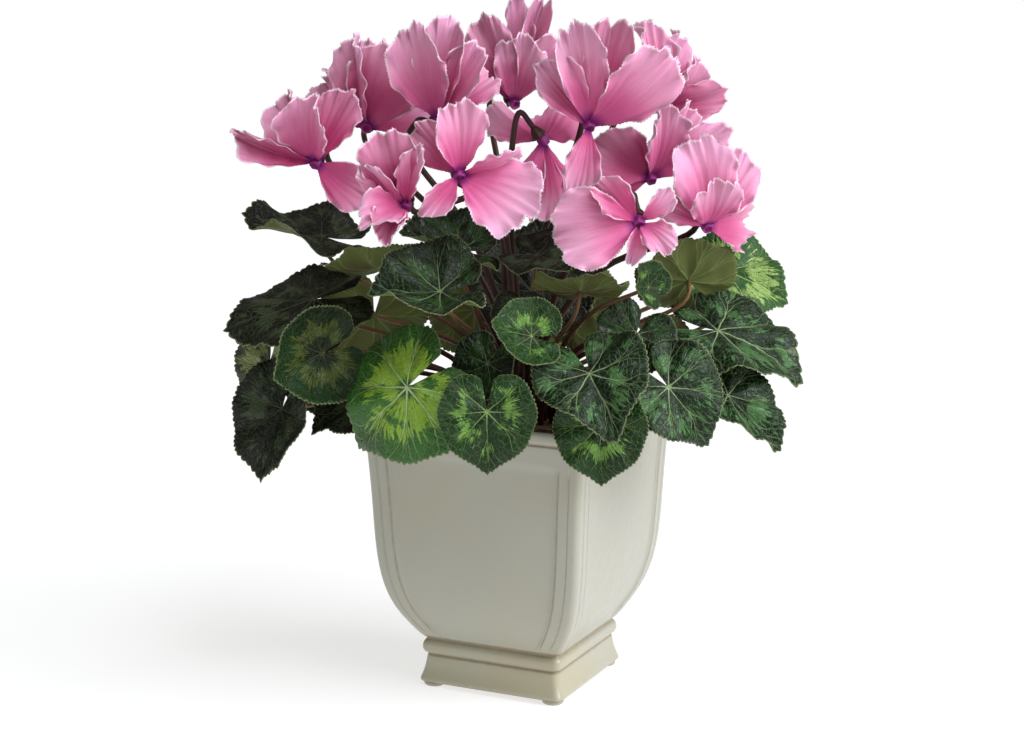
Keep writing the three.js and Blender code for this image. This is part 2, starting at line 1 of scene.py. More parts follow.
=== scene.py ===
"""A potted cyclamen in flower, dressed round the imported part.

Lengths in the plans are millimetres and every mesh is in metres, in the part's own frame: Z up, the
origin under the middle of the pot, the pot's four sides square to X and Y. The plant shows its face
to one corner of the pot, so leaves and blooms are placed across, toward the viewer and up.
"""
import logging
import math
from dataclasses import dataclass
from enum import Enum
from functools import partial, partialmethod
from typing import Callable, Sequence

import bpy
import numpy as np
from bpy.types import Material, Object
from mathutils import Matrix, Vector


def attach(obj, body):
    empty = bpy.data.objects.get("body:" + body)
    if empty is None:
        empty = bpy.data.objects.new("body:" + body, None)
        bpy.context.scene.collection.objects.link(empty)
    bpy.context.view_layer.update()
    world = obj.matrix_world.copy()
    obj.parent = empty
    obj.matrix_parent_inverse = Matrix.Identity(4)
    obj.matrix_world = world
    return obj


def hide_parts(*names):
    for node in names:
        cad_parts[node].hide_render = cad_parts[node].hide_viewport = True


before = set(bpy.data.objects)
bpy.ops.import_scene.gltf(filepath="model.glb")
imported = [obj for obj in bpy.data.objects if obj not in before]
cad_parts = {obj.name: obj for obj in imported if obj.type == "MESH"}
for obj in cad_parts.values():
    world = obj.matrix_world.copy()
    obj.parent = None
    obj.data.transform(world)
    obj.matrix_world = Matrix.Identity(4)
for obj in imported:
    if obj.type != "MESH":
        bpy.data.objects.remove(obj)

LOG = logging.getLogger("cyclamen")
MM = 0.001
FULL_TURN = 2.0 * math.pi
MERGE_DISTANCE = 1e-6
AT_MARGIN = 0.9999
Pair = tuple[float, float]
Triple = tuple[float, float, float]

FACE_TURN = math.radians(25.4)
ACROSS = np.array([math.cos(FACE_TURN), math.sin(FACE_TURN), 0.0])
TOWARD = np.array([math.sin(FACE_TURN), -math.cos(FACE_TURN), 0.0])
UP = np.array([0.0, 0.0, 1.0])


def to_pot(view: Sequence[float]) -> np.ndarray:
    """Turns a place or direction across, toward and up into the pot's X, Y and Z."""
    return view[0] * ACROSS + view[1] * TOWARD + view[2] * UP


def unit(vector: np.ndarray) -> np.ndarray:
    """Gives the vector at a length of one."""
    return vector / np.linalg.norm(vector)


def frame_of(direction: np.ndarray, face: np.ndarray) -> np.ndarray:
    """Gives three square axes for something that points one way and faces another.

    Args:
        direction: The way that it points, which becomes the first axis.
        face: The way that it faces, which the third axis comes as near to as it can.

    Returns:
        A matrix with the three axes as its rows.
    """
    first = unit(direction)
    third = unit(face - first * np.dot(face, first))
    return np.array([first, np.cross(third, first), third])


def smooth_step(value: np.ndarray, low: float, high: float) -> np.ndarray:
    """Rises smoothly from 0 at the low value to 1 at the high one."""
    share = np.clip((value - low) / (high - low), 0.0, 1.0)
    return share * share * (3.0 - 2.0 * share)


def linear(code: str) -> tuple[float, float, float, float]:
    """Gives the shader colour of a screen colour such as 2f5233."""
    parts = [int(code[i:i + 2], 16) / 255.0 for i in (0, 2, 4)]
    return (*[p / 12.92 if p <= 0.04045 else ((p + 0.055) / 1.055) ** 2.4 for p in parts], 1.0)


class Draw:
    """A seeded draw between -1 and 1 that gives the same numbers on every run."""

    SPREAD, OFFSET, FACTOR, STEP, SPAN = 2654435761, 12345, 1664525, 1013904223, 2**32

    def __init__(self, seed: int) -> None:
        """Starts the draw from its seed."""
        self.state = seed * self.SPREAD + self.OFFSET

    def __call__(self) -> float:
        """Gives the next number."""
        self.state = (self.state * self.FACTOR + self.STEP) % self.SPAN
        return self.state / (self.SPAN / 2) - 1.0


# Shader sheets.


class Wire:
    """One output of a shader node, with which sums are written as plain arithmetic."""

    def __init__(self, sheet: "Sheet", socket: bpy.types.NodeSocket) -> None:
        """Keeps the sheet and the socket that the wire comes from."""
        self.sheet = sheet
        self.socket = socket

    def combine(self, operation: str, *others: "Wire | float") -> "Wire":
        """Works out a sum of this wire and others."""
        return self.sheet.math(operation, self, *others)

    def __rsub__(self, other: float) -> "Wire":
        """Takes the wire away from a number."""
        return self.sheet.math("SUBTRACT", other, self)

    __add__ = partialmethod(combine, "ADD")
    __sub__ = partialmethod(combine, "SUBTRACT")
    __mul__ = partialmethod(combine, "MULTIPLY")
    __or__ = partialmethod(combine, "MAXIMUM")
    __abs__ = partialmethod(combine, "ABSOLUTE")


Value = Wire | float | tuple


class Sheet:
    """The node sheet of one material."""

    def __init__(self, name: str) -> None:
        """Makes the material, with one shader.

        Args:
            name: Its name.
        """
        self.material = bpy.data.materials.new(name)
        self.material.use_nodes = True
        self.tree = self.material.node_tree
        self.shader = next(n for n in self.tree.nodes if n.type == "BSDF_PRINCIPLED")

    def plug(self, node: bpy.types.Node, values: dict[int | str, Value]) -> None:
        """Fills a node's inputs.

        Args:
            node: The node.
            values: For each input, the wire that is linked to it or the plain value that it takes.
        """
        for name, value in values.items():
            if isinstance(value, Wire):
                self.tree.links.new(value.socket, node.inputs[name])
            else:
                node.inputs[name].default_value = value

    def add(self, kind: str, output: int | str, values: dict[int | str, Value], **settings: str) -> Wire:
        """Adds a node.

        Args:
            kind: Its type, without the first word that all types share.
            output: Which of its outputs is used.
            values: Its inputs.
            settings: Its settings.

        Returns:
            Its output.
        """
        node = self.tree.nodes.new("ShaderNode" + kind)
        for name, value in settings.items():
            setattr(node, name, value)
        self.plug(node, values)
        return Wire(self, node.outputs[output])

    def math(self, operation: str, *values: "Wire | float") -> Wire:
        """Works out a sum of one or two values."""
        return self.add("Math", 0, dict(enumerate(values)), operation=operation)

    def ease(self, value: Wire, low: Value, high: Value) -> Wire:
        """Rises smoothly from 0 at the low value to 1 at the high one."""
        ends = {"Value": value, "From Min": low, "From Max": high}
        return self.add("MapRange", "Result", ends, interpolation_type="SMOOTHSTEP")

    def fade(self, value: Wire, low: Value, high: Value) -> Wire:
        """Falls smoothly from 1 at the low value to 0 at the high one."""
        return 1.0 - self.ease(value, low, high)

    def noise(self, at: Wire, scale: float, detail: float = 2.0, rough: float = 0.5) -> Wire:
        """Gives a noise pattern between about 0.2 and 0.8."""
        grain = {"Vector": at, "Scale": scale, "Detail": detail, "Roughness": rough}
        return self.add("TexNoise", 0, grain)

    def cells(self, at: Wire, scale: float, feature: str = "F1", output: str = "Distance") -> Wire:
        """Gives a pattern of cells, such as the distance to their edges or middles."""
        return self.add("TexVoronoi", output, {"Vector": at, "Scale": scale}, feature=feature)

    def tint(self, color: Value, share: Value, code: str) -> Wire:
        """Mixes a share of a screen colour into a colour."""
        return self.add("Mix", 2, {0: share, 6: color, 7: linear(code)}, data_type="RGBA")

    def own_place(self) -> Wire:
        """Gives the place on the object in metres."""
        return self.add("TexCoord", "Object", {})

    def sheet_place(self) -> tuple[Wire, ...]:
        """Gives the place on the piece's own map, across and along it."""
        return self.split(self.add("UVMap", 0, {}))

    def split(self, vector: Wire) -> tuple[Wire, ...]:
        """Gives the three parts of a vector."""
        first = self.add("SeparateXYZ", 0, {0: vector})
        return tuple(Wire(self, out) for out in first.socket.node.outputs)

    def join(self, *parts: Value) -> Wire:
        """Makes a vector of three values."""
        return self.add("CombineXYZ", 0, dict(enumerate(parts)))

    def mark(self, name: str) -> Wire:
        """Reads a number that the mesh carries at its points."""
        return self.add("Attribute", "Fac", {}, attribute_name=name)

    def bump(self, height: Wire, depth: float, strength: float) -> None:
        """Gives the surface a relief of that depth in metres."""
        relief = self.add("Bump", 0, {"Strength": strength, "Distance": depth, "Height": height})
        self.plug(self.shader, {"Normal": relief})

    def surface(self, color: Value, roughness: Value, **plain: Value) -> Material:
        """Sets the shader's inputs.

        Args:
            color: The colour.
            roughness: The roughness.
            plain: Other inputs, with an underscore for each space, as plain values.

        Returns:
            The finished material.
        """
        self.plug(self.shader, {"Base Color": color, "Roughness": roughness})
        self.plug(self.shader, {name.replace("_", " "): value for name, value in plain.items()})
        return self.material


# Finishes.


@dataclass(frozen=True)
class Glaze:
    """Warm white glaze on stoneware, with brown painted shade in the grooves and along the panels' edges,
    and a few pinholes.

    Heights and widths are in metres, and each pair is where a change starts and where it ends.
    """

    body: str = "a9a89a"
    warm: str = "aca488"
    # Brown of the shade painted in the grooves and along the panels' edges.
    groove_shade: str = "84745a"
    pinhole: str = "5a4a3a"
    strip: float = 0.017
    lines_at: Pair = (0.001, 0.0085)
    line_width: float = 0.0013
    panel_foot: Pair = (0.038, 0.046)
    panel_top: Pair = (0.168, 0.174)
    foot: Pair = (0.022, 0.05)
    warm_spread: Pair = (0.42, 0.95)
    groove_shade_spread: Pair = (0.25, 1.0)
    cloud_scale: float = 14.0
    fine_scale: float = 160.0
    hole_scale: float = 34.0
    hole_edge: Pair = (0.018, 0.045)
    hole_choice: Pair = (0.8, 0.81)
    depth: float = 0.0007

    def panel_lines(self, sheet: Sheet, x: Wire, y: Wire, z: Wire) -> Wire:
        """Draws the two fine grooves that run beside each panel, as relief and as painted shade.

        Args:
            sheet: The sheet to draw on.
            x: The place along X in metres.
            y: The place along Y in metres.
            z: The height in metres.

        Returns:
            A mask that is 1 in a groove.
        """
        wide = abs(x) | abs(y)
        narrow = sheet.math("MINIMUM", abs(x), abs(y))
        inset = narrow - wide + self.strip
        inner, outer = (sheet.fade(abs(inset - at), 0.0, self.line_width) for at in self.lines_at)
        return (inner | outer) * sheet.ease(z, *self.panel_foot) * sheet.fade(z, *self.panel_top)

    def make(self) -> Material:
        """Makes the material."""
        sheet = Sheet("warm_white_glaze")
        at = sheet.own_place()
        x, y, z = sheet.split(at)
        cloud = sheet.noise(at, self.cloud_scale, 3.0)
        fine = sheet.noise(at, self.fine_scale, 3.0)
        warmth = sheet.ease(cloud + sheet.fade(z, *self.foot) * 0.2, *self.warm_spread)
        color = sheet.tint(linear(self.body), warmth, self.warm)
        lines = self.panel_lines(sheet, x, y, z)
        # Painted shade: browner in the grooves and along the panels' edges.
        groove_shade = sheet.mark("painted_groove_shade") + fine * 0.5 - 0.25 + lines * 0.4
        color = sheet.tint(color, sheet.ease(groove_shade, *self.groove_shade_spread) * 0.75, self.groove_shade)
        chosen = sheet.split(sheet.cells(at, self.hole_scale, output="Color"))[0]
        hole = sheet.fade(sheet.cells(at, self.hole_scale), *self.hole_edge)
        hole = hole * sheet.ease(chosen, *self.hole_choice)
        color = sheet.tint(color, hole * 0.8, self.pinhole)
        sheet.bump(fine * 0.3 + cloud - hole - lines * 3.0, self.depth, 0.5)
        roughness = sheet.ease(fine, 0.2, 0.8) * 0.12 + 0.3
        return sheet.surface(color, roughness, Coat_Weight=0.25, Coat_Roughness=0.12)


@dataclass(frozen=True)
class RoughSkin:
    """A rough brown surface of two tones, with or without a few pale grains in it."""

    name: str
    dark: str
    light: str
    scale: float
    coarse: float
    spread: Pair
    depth: float
    strength: float
    roughness: float
    grain: str = ""
    grain_scale: float = 160.0

    def make(self) -> Material:
        """Makes the material."""
        sheet = Sheet(self.name)
        at = sheet.own_place()
        crumbs = sheet.noise(at, self.scale, 5.0, self.coarse)
        color = sheet.tint(linear(self.dark), sheet.ease(crumbs, *self.spread), self.light)
        if self.grain:
            chosen = sheet.split(sheet.cells(at, self.grain_scale, output="Color"))[0]
            grain = sheet.fade(sheet.cells(at, self.grain_scale), 0.25, 0.32)
            color = sheet.tint(color, grain * sheet.ease(chosen, 0.9, 0.91), self.grain)
        sheet.bump(crumbs, self.depth, self.strength)
        return sheet.surface(color, self.roughness)


PEAT = RoughSkin("potting_mix", "241b15", "4a3a2d", 220.0, 0.65, (0.35, 0.7), 0.002, 0.8, 0.95, "b9b2a4")
CORK = RoughSkin("corky_skin", "3a271c", "7a5a41", 90.0, 0.6, (0.3, 0.7), 0.0015, 0.7, 0.85)


@dataclass(frozen=True)
class LeafLook:
    """Colours and markings of the upper face of a leaf."""

    heart: str
    band: str
    field: str
    vein: str
    band_from: float
    band_to: float
    spikes: float
    fill: float
    vein_strength: float
    gloss: float


class LeafKind(Enum):
    """The looks of the leaves on this plant."""

    # Darkest look, for the leaves on the left and deep in the crown: partly their own dark colour, partly
    # painted shade.
    CHARCOAL = LeafLook("0a0e05", "38442c", "10170a", "6d7758", 0.3, 0.74, 0.26, 0.5, 0.4, 0.27)
    VEINED = LeafLook("071204", "223f18", "0b1d08", "8ca674", 0.2, 0.8, 0.2, 0.5, 0.8, 0.26)
    RINGED = LeafLook("12150a", "555e2c", "173a14", "7f9462", 0.32, 0.6, 0.3, 0.95, 0.3, 0.32)
    SAGE = LeafLook("1a2410", "7c8a50", "25341a", "98a276", 0.26, 0.8, 0.3, 0.75, 0.5, 0.32)
    BRIGHT = LeafLook("1f4210", "83a632", "2c601b", "b4d294", 0.14, 0.66, 0.1, 0.7, 0.95, 0.22)
    SILVER = LeafLook("081a08", "456c3c", "0c260c", "a0b886", 0.3, 0.8, 0.24, 0.4, 0.85, 0.24)
    BLOTCHED = LeafLook("224c18", "92b060", "1c4714", "b4ce8a", 0.34, 0.78, 0.22, 0.55, 0.8, 0.32)
    FRESH = LeafLook("0c2106", "6c9642", "153910", "98ba70", 0.32, 0.58, 0.26, 0.45, 0.75, 0.28)


VEIN_TURN = 44.0
LEAF_SPAN = 170.0


@dataclass(frozen=True)
class LeafSkin:
    """The upper or lower face of a leaf.

    Each branch has where it leaves the main vein, how far it spreads in degrees and its width.
    """

    look: LeafLook
    margin: str = "8a9a66"
    olive: str = "5c6438"
    ruddy: str = "4a3a28"
    main_width: Pair = (0.3, 1.35)
    branches: tuple[Triple, ...] = ((0.42, 26.0, 0.9), (0.66, 20.0, 0.7))
    branch_core: float = 0.15
    branch_start: float = 0.04
    branch_share: float = 0.75
    drift_turn: float = 22.0
    drift_reach: float = 0.14
    streak_run: Triple = (0.33, 2.0, 7.0)
    band_edges: Pair = (0.02, 0.025)
    patch_edge: Pair = (0.64, 0.34)
    patch_soft: float = 0.07
    margin_from: float = 0.972
    net_scale: float = 260.0
    patch_scale: float = 62.0
    blister_scale: float = 95.0
    depth: float = 0.0016
    flesh: float = 0.002

    def veins(self, sheet: Sheet, turn: Wire, reach: Wire) -> Wire:
        """Draws forking veins that run from the stalk to the margin.

        Args:
            sheet: The sheet to draw on.
            turn: The angle from the nearest main vein in degrees.
            reach: The share of the way to the margin.

        Returns:
            A mask that is 1 on a vein.
        """
        away = abs(turn)
        mask = sheet.fade(away * reach + reach * 0.5, *self.main_width)
        for start, spread, width in self.branches:
            line = abs(away - (reach - start) * spread)
            drawn = sheet.fade(line * reach, self.branch_core, width)
            begun = sheet.ease(reach, start, start + self.branch_start)
            mask = mask | drawn * begun * self.branch_share
        return mask

    def lower(self, sheet: Sheet, at: Wire, veins: Wire, net: Wire) -> Material:
        """Paints the lower face.

        Args:
            sheet: The sheet to paint on.
            at: The place on the object.
            veins: The mask of the veins.
            net: The mask of the fine net between them.

        Returns:
            The finished material.
        """
        cloud = sheet.ease(sheet.noise(at, 20.0), 0.45, 0.75)
        color = sheet.tint(linear(self.olive), cloud, self.ruddy)
        color = sheet.tint(color, veins * 0.28, self.look.vein)
        sheet.bump(veins + net * 0.2, self.depth / 2, 0.5)
        return sheet.surface(color, 0.6, Specular_IOR_Level=0.1, Subsurface_Weight=0.1,
                             Subsurface_Scale=self.flesh)

    def band(self, sheet: Sheet, turn: Wire, reach: Wire, streaks: Wire) -> Wire:
        """Draws the pale band between the heart and the margin.

        Args:
            sheet: The sheet to draw on.
            turn: The angle from the nearest main vein in degrees.
            reach: The share of the way to the margin.
            streaks: The pattern of streaks that run outwards.

        Returns:
            A mask that is 1 on the band.
        """
        near = 1.0 - abs(turn) * (2.0 / VEIN_TURN)
        spike = near * near * self.look.spikes * 0.6
        inner = (streaks - 0.5) * 0.45 + spike * 0.4 + self.look.band_from
        outer = (streaks - 0.5) * 0.8 + spike + (self.look.band_to - 0.02)
        sharp, soft = self.band_edges
        begun = sheet.ease(reach, inner - sharp, inner + sharp)
        return begun * sheet.fade(reach, outer - soft, outer + soft)

    def make(self, name: str, under: bool = False) -> Material:
        """Makes the material.

        Args:
            name: The material's name.
            under: Whether it is for the lower face.

        Returns:
            The finished material.
        """
        look, sheet = self.look, Sheet(name)
        at = sheet.own_place()
        sideways, reach, _ = sheet.sheet_place()
        angle = (sideways - 0.5) * (2.0 * LEAF_SPAN) + (sheet.noise(at, 42.0) - 0.5) * self.drift_turn
        step = sheet.math("ROUND", angle * (1.0 / VEIN_TURN))
        turn = angle - step * VEIN_TURN
        veins = self.veins(sheet, turn, reach + (sheet.noise(at, 60.0) - 0.5) * self.drift_reach)
        net = sheet.fade(sheet.cells(at, self.net_scale, "DISTANCE_TO_EDGE"), 0.0, 0.12)
        if under:
            return self.lower(sheet, at, veins, net)
        run = sheet.join(*[part * scale for part, scale in zip((angle, reach, step), self.streak_run)])
        streaks = sheet.noise(run, 1.0, 2.0, 0.6)
        patches = sheet.noise(at, self.patch_scale, 3.0, 0.6) + (streaks - 0.5) * 0.45
        edge = self.patch_edge[0] - look.fill * self.patch_edge[1]
        band = self.band(sheet, turn, reach, streaks) * sheet.ease(patches, edge, edge + self.patch_soft)
        color = sheet.tint(linear(look.heart), sheet.ease(reach, 0.1, look.band_from + 0.16), look.field)
        shade = sheet.ease(sheet.noise(at, 24.0), 0.62, 0.38)
        streaky = sheet.ease(streaks, 0.25, 0.7) * 0.35 + 0.65
        fade = sheet.ease(reach, 1.0, 0.3) * 0.6 + 0.3
        for share, code in (
                (shade * 0.6, look.heart),
                (sheet.ease(patches, 0.3, 0.75) * 0.35, look.heart),
                (band * streaky, look.band),
                (net * 0.1, look.vein),
                (veins * fade * look.vein_strength * 0.9, look.vein),
                (sheet.ease(reach, self.margin_from, 1.0) * 0.6, self.margin)):
            color = sheet.tint(color, share, code)
        blisters = sheet.noise(at, self.blister_scale)
        sheet.bump((1.0 - veins) + blisters * 1.4 + patches * 0.4 - net * 0.3, self.depth, 0.8)
        roughness = (1.0 - band) * 0.04 + sheet.ease(patches, 0.2, 0.8) * 0.08 + look.gloss
        return sheet.surface(color, roughness, Specular_IOR_Level=0.26, Subsurface_Weight=0.04,
                             Subsurface_Scale=self.flesh)


@dataclass(frozen=True)
class PetalSkin:
    """Pink petal with fine veins, a pale frilled edge and a magenta base."""

    light: str = "e2a6c4"
    pink: str = "d36096"
    rose: str = "ab3568"
    mauve: str = "bd8bac"
    base: str = "861f74"
    edge: str = "f0d9e3"
    vein_count: float = 84.0
    vein_length: float = 2.6
    cloud_scale: float = 26.0
    base_to: Pair = (0.03, 0.17)
    rim_from: float = 0.965
    side_from: float = 0.95

    def make(self) -> Material:
        """Makes the material."""
        sheet = Sheet("frilled_petal")
        at = sheet.own_place()
        sideways, reach, _ = sheet.sheet_place()
        drift = (sheet.noise(at, 50.0) - 0.5) * 0.06
        run = sheet.join((sideways + drift) * self.vein_count, reach * self.vein_length, 0.0)
        lines = sheet.noise(run, 1.0, 3.0, 0.65)
        depth = sheet.ease(reach + (sheet.noise(at, self.cloud_scale) - 0.5) * 0.6, 0.2, 1.0)
        tone = sheet.mark("petal_tone")
        side = sheet.ease(abs(sideways - 0.5) * 2.0, self.side_from, 1.0) * sheet.ease(reach, 0.2, 0.45)
        rim = sheet.ease(reach, self.rim_from, 1.0) | side
        color = sheet.tint(linear(self.pink), depth, self.light)
        for share, code in (
                (sheet.ease(lines, 0.45, 0.7) * 0.3, self.rose),
                (tone * tone * (1.0 - depth * 0.5) * 0.9, self.rose),
                (sheet.ease(reach, 0.55, 1.0) * (1.0 - tone) * 0.4, self.mauve),
                (sheet.fade(reach + (lines - 0.5) * 0.16, *self.base_to), self.base),
                (rim * 0.8, self.edge)):
            color = sheet.tint(color, share, code)
        sheet.bump(lines, 0.0004, 0.4)
        return sheet.surface(color, 0.5, Specular_IOR_Level=0.2, Subsurface_Weight=0.15,
                             Subsurface_Scale=0.0012, Sheen_Weight=0.08, Sheen_Roughness=0.4)


@dataclass(frozen=True)
class StalkSkin:
    """Fleshy stalk that runs from one colour at its foot to another at its top."""

    name: str
    foot: str
    top: str
    speck_scale: float = 400.0

    def make(self) -> Material:
        """Makes the material."""
        sheet = Sheet(self.name)
        at = sheet.own_place()
        _, reach, _ = sheet.sheet_place()
        specks = sheet.noise(at, self.speck_scale, 3.0)
        share = sheet.ease(reach + (sheet.noise(at, 40.0) - 0.5) * 0.6, 0.2, 0.9)
        color = sheet.tint(linear(self.foot), share, self.top)
        color = sheet.tint(color, sheet.ease(specks, 0.5, 0.75) * 0.35, self.foot)
        sheet.bump(specks, 0.0003, 0.4)
        return sheet.surface(color, 0.42, Specular_IOR_Level=0.25, Subsurface_Weight=0.1,
                             Subsurface_Scale=0.001)


# Mesh making.


def take_up(*objects: Object) -> None:
    """Selects these objects alone, or nothing, and makes the first the active one.

    Args:
        objects: The objects.
    """
    bpy.ops.object.select_all(action="DESELECT")
    for each in reversed(objects):
        each.select_set(True)
        bpy.context.view_layer.objects.active = each


def edit_whole(obj: Object, *steps: Callable[[], object]) -> None:
    """Takes edit steps on all of a mesh.

    Args:
        obj: The object.
        steps: The steps in order. The first finds everything selected.
    """
    take_up(obj)
    bpy.ops.object.mode_set(mode="EDIT")
    bpy.ops.mesh.select_all(action="SELECT")
    for step in steps:
        step()
    bpy.ops.object.mode_set(mode="OBJECT")


def read_points(mesh: bpy.types.Mesh) -> np.ndarray:
    """Reads the places of a mesh's points.

    Args:
        mesh: The mesh.

    Returns:
        The places, one row each.
    """
    points = np.empty(len(mesh.vertices) * 3, np.float32)
    mesh.vertices.foreach_get("co", points)
    return points.reshape(-1, 3).astype(float)


def carry(obj: Object, name: str, values: Sequence[float]) -> None:
    """Lets a mesh carry a number at each of its points."""
    mark = obj.data.attributes.new(name, "FLOAT", "POINT")
    mark.data.foreach_set("value", values)


class Blank:
    """A flat grid primitive, each copy of which is shaped into a blade, a petal or a tube."""

    def __init__(self, name: str, columns: int, rows: int, toothed: bool = False) -> None:
        """Adds the grid.

        Args:
            name: A name for its mesh.
            columns: Faces across.
            rows: Faces along.
            toothed: Whether each edge of the margin is cut in two, for a tooth.
        """
        take_up()
        bpy.ops.mesh.primitive_grid_add(x_subdivisions=columns, y_subdivisions=rows, size=1.0)
        grid = bpy.context.active_object
        grid.name = name
        if toothed:
            self.cut_margin(grid)
        self.mesh = grid.data
        flat = np.round(read_points(grid.data) + 0.5, 6)
        self.across = flat[:, 0]
        self.along = flat[:, 1]
        bpy.data.objects.remove(grid)

    @staticmethod
    def cut_margin(grid: Object) -> None:
        """Cuts each edge at the sides and the far end in two.

        Args:
            grid: The grid, one long and one wide, with its middle at the origin.
        """
        edit_whole(grid, partial(bpy.ops.mesh.select_mode, type="EDGE"),
                   partial(bpy.ops.mesh.select_all, action="DESELECT"))
        limit = AT_MARGIN / 2
        for edge in grid.data.edges:
            ends = [grid.data.vertices[i].co for i in edge.vertices]
            edge.select = all(co.y > limit for co in ends) or all(abs(co.x) > limit for co in ends)
        bpy.ops.object.mode_set(mode="EDIT")
        bpy.ops.mesh.subdivide(number_cuts=1, ngon=False)
        bpy.ops.object.mode_set(mode="OBJECT")

    def shape(self, name: str, points: np.ndarray) -> Object:
        """Makes a copy of the grid and lays its points where they belong.

        Args:
            name: The new object's name.
            points: The places in millimetres, in the order of `across` and `along`.

        Returns:
            The new object.
        """
        mesh = self.mesh.copy()
        mesh.name = name
        mesh.vertices.foreach_set("co", (points * MM).astype(np.float32).ravel())
        mesh.update()
        made = bpy.data.objects.new(name, mesh)
        bpy.context.collection.objects.link(made)
        return made

    def merged(self, name: str, points: np.ndarray, closed: bool = False) -> Object:
        """Shapes a copy and makes points that fall together one.

        Args:
            name: The new object's name.
            points: The places in millimetres.
            closed: Whether it is a closed mesh, whose faces are then turned outwards.

        Returns:
            The new object.
        """
        made = self.shape(name, points)
        edit_whole(made, partial(bpy.ops.mesh.remove_doubles, threshold=MERGE_DISTANCE))
        if closed:
            edit_whole(made, partial(bpy.ops.mesh.normals_make_consistent, inside=False))
        return made

    def tube(self, name: str, line: np.ndarray, radii: np.ndarray) -> Object:
        """Makes a round tube along a line, closed at both ends.

        Args:
            name: The new object's name.
            line: The line's points in millimetres, one for each row but the first and last.
            radii: The tube's radius at each of them.

        Returns:
            The tube.
        """
        tangents = np.gradient(line, axis=0)
        tangents /= np.linalg.norm(tangents, axis=1)[:, None]
        side = unit(np.cross(tangents[0], ACROSS + 0.3 * TOWARD))
        sides = []
        for tangent in tangents:
            side = unit(side - tangent * np.dot(side, tangent))
            sides.append(side)
        firsts = np.array(sides)
        seconds = np.cross(tangents, firsts)
        last = len(line) - 1
        row = np.rint(self.along * (last + 2)).astype(int) - 1
        inside = np.clip(row, 0, last)
        radius = np.where(row == inside, radii[inside], 0.0)[:, None]
        angle = (self.across * FULL_TURN)[:, None]
        ring = np.cos(angle) * firsts[inside] + np.sin(angle) * seconds[inside]
        return self.merged(name, line[inside] + ring * radius, closed=True)


def finish_modifier(obj: Object, kind: str, **settings: float) -> None:
    """Adds a modifier and applies it.

    Args:
        obj: The object that it shapes.
        kind: The modifier's type.
        settings: Its settings.
    """
    take_up(obj)
    modifier = obj.modifiers.new(kind.lower(), kind)
    for name, value in settings.items():
        setattr(modifier, name, value)
    bpy.ops.object.modifier_apply(modifier=modifier.name)


def give_thickness(obj: Object, thickness: float, under: int = 0) -> None:
    """Turns a sheet into a thin solid, with half of its thickness to each side.

    Args:
        obj: The sheet.
        thickness: Its thickness in millimetres.
        under: How many material slots further the lower face's material is.
    """
    finish_modifier(obj, "SOLIDIFY", thickness=thickness * MM, offset=0.0, material_offset=under)


def join(name: str, *objects: Object) -> Object:
    """Joins objects into one with smooth faces.

    Args:
        name: The name of the whole.
        objects: The objects.

    Returns:
        The whole.
    """
    take_up(*objects)
    if len(objects) > 1:
        bpy.ops.object.join()
    whole = bpy.context.view_layer.objects.active
    whole.name = name
    whole.data.name = name
    bpy.ops.object.shade_smooth()
    return whole


def dress(obj: Object, *materials: Material) -> None:
    """Gives an object its materials.

    Args:
        obj: The object.
        materials: The materials in order.
    """
    obj.data.materials.clear()
    for each in materials:
        obj.data.materials.append(each)


def settle(obj: Object, slot: str, *nodes: str) -> None:
    """Lets a piece ride on the one body and stand for its nodes.

    Args:
        obj: The piece.
        slot: Not used.
        nodes: The nodes that it stands for.
    """
    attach(obj, "root")
    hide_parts(*nodes)
    LOG.info("%s: %d points", obj.name, len(obj.data.vertices))


def on_profile(profile: Sequence[Pair], along: np.ndarray) -> tuple[np.ndarray, np.ndarray]:
    """Reads a profile that is turned about an axis.

    Args:
        profile: Radius and height of each of its points.
        along: Shares of the way along it.

    Returns:
        The radii and the heights there.
    """
    table = np.array(profile, float)
    ranks = np.arange(len(table))
    at = along * (len(table) - 1)
    return np.interp(at, ranks, table[:, 0]), np.interp(at, ranks, table[:, 1])


# The pot.


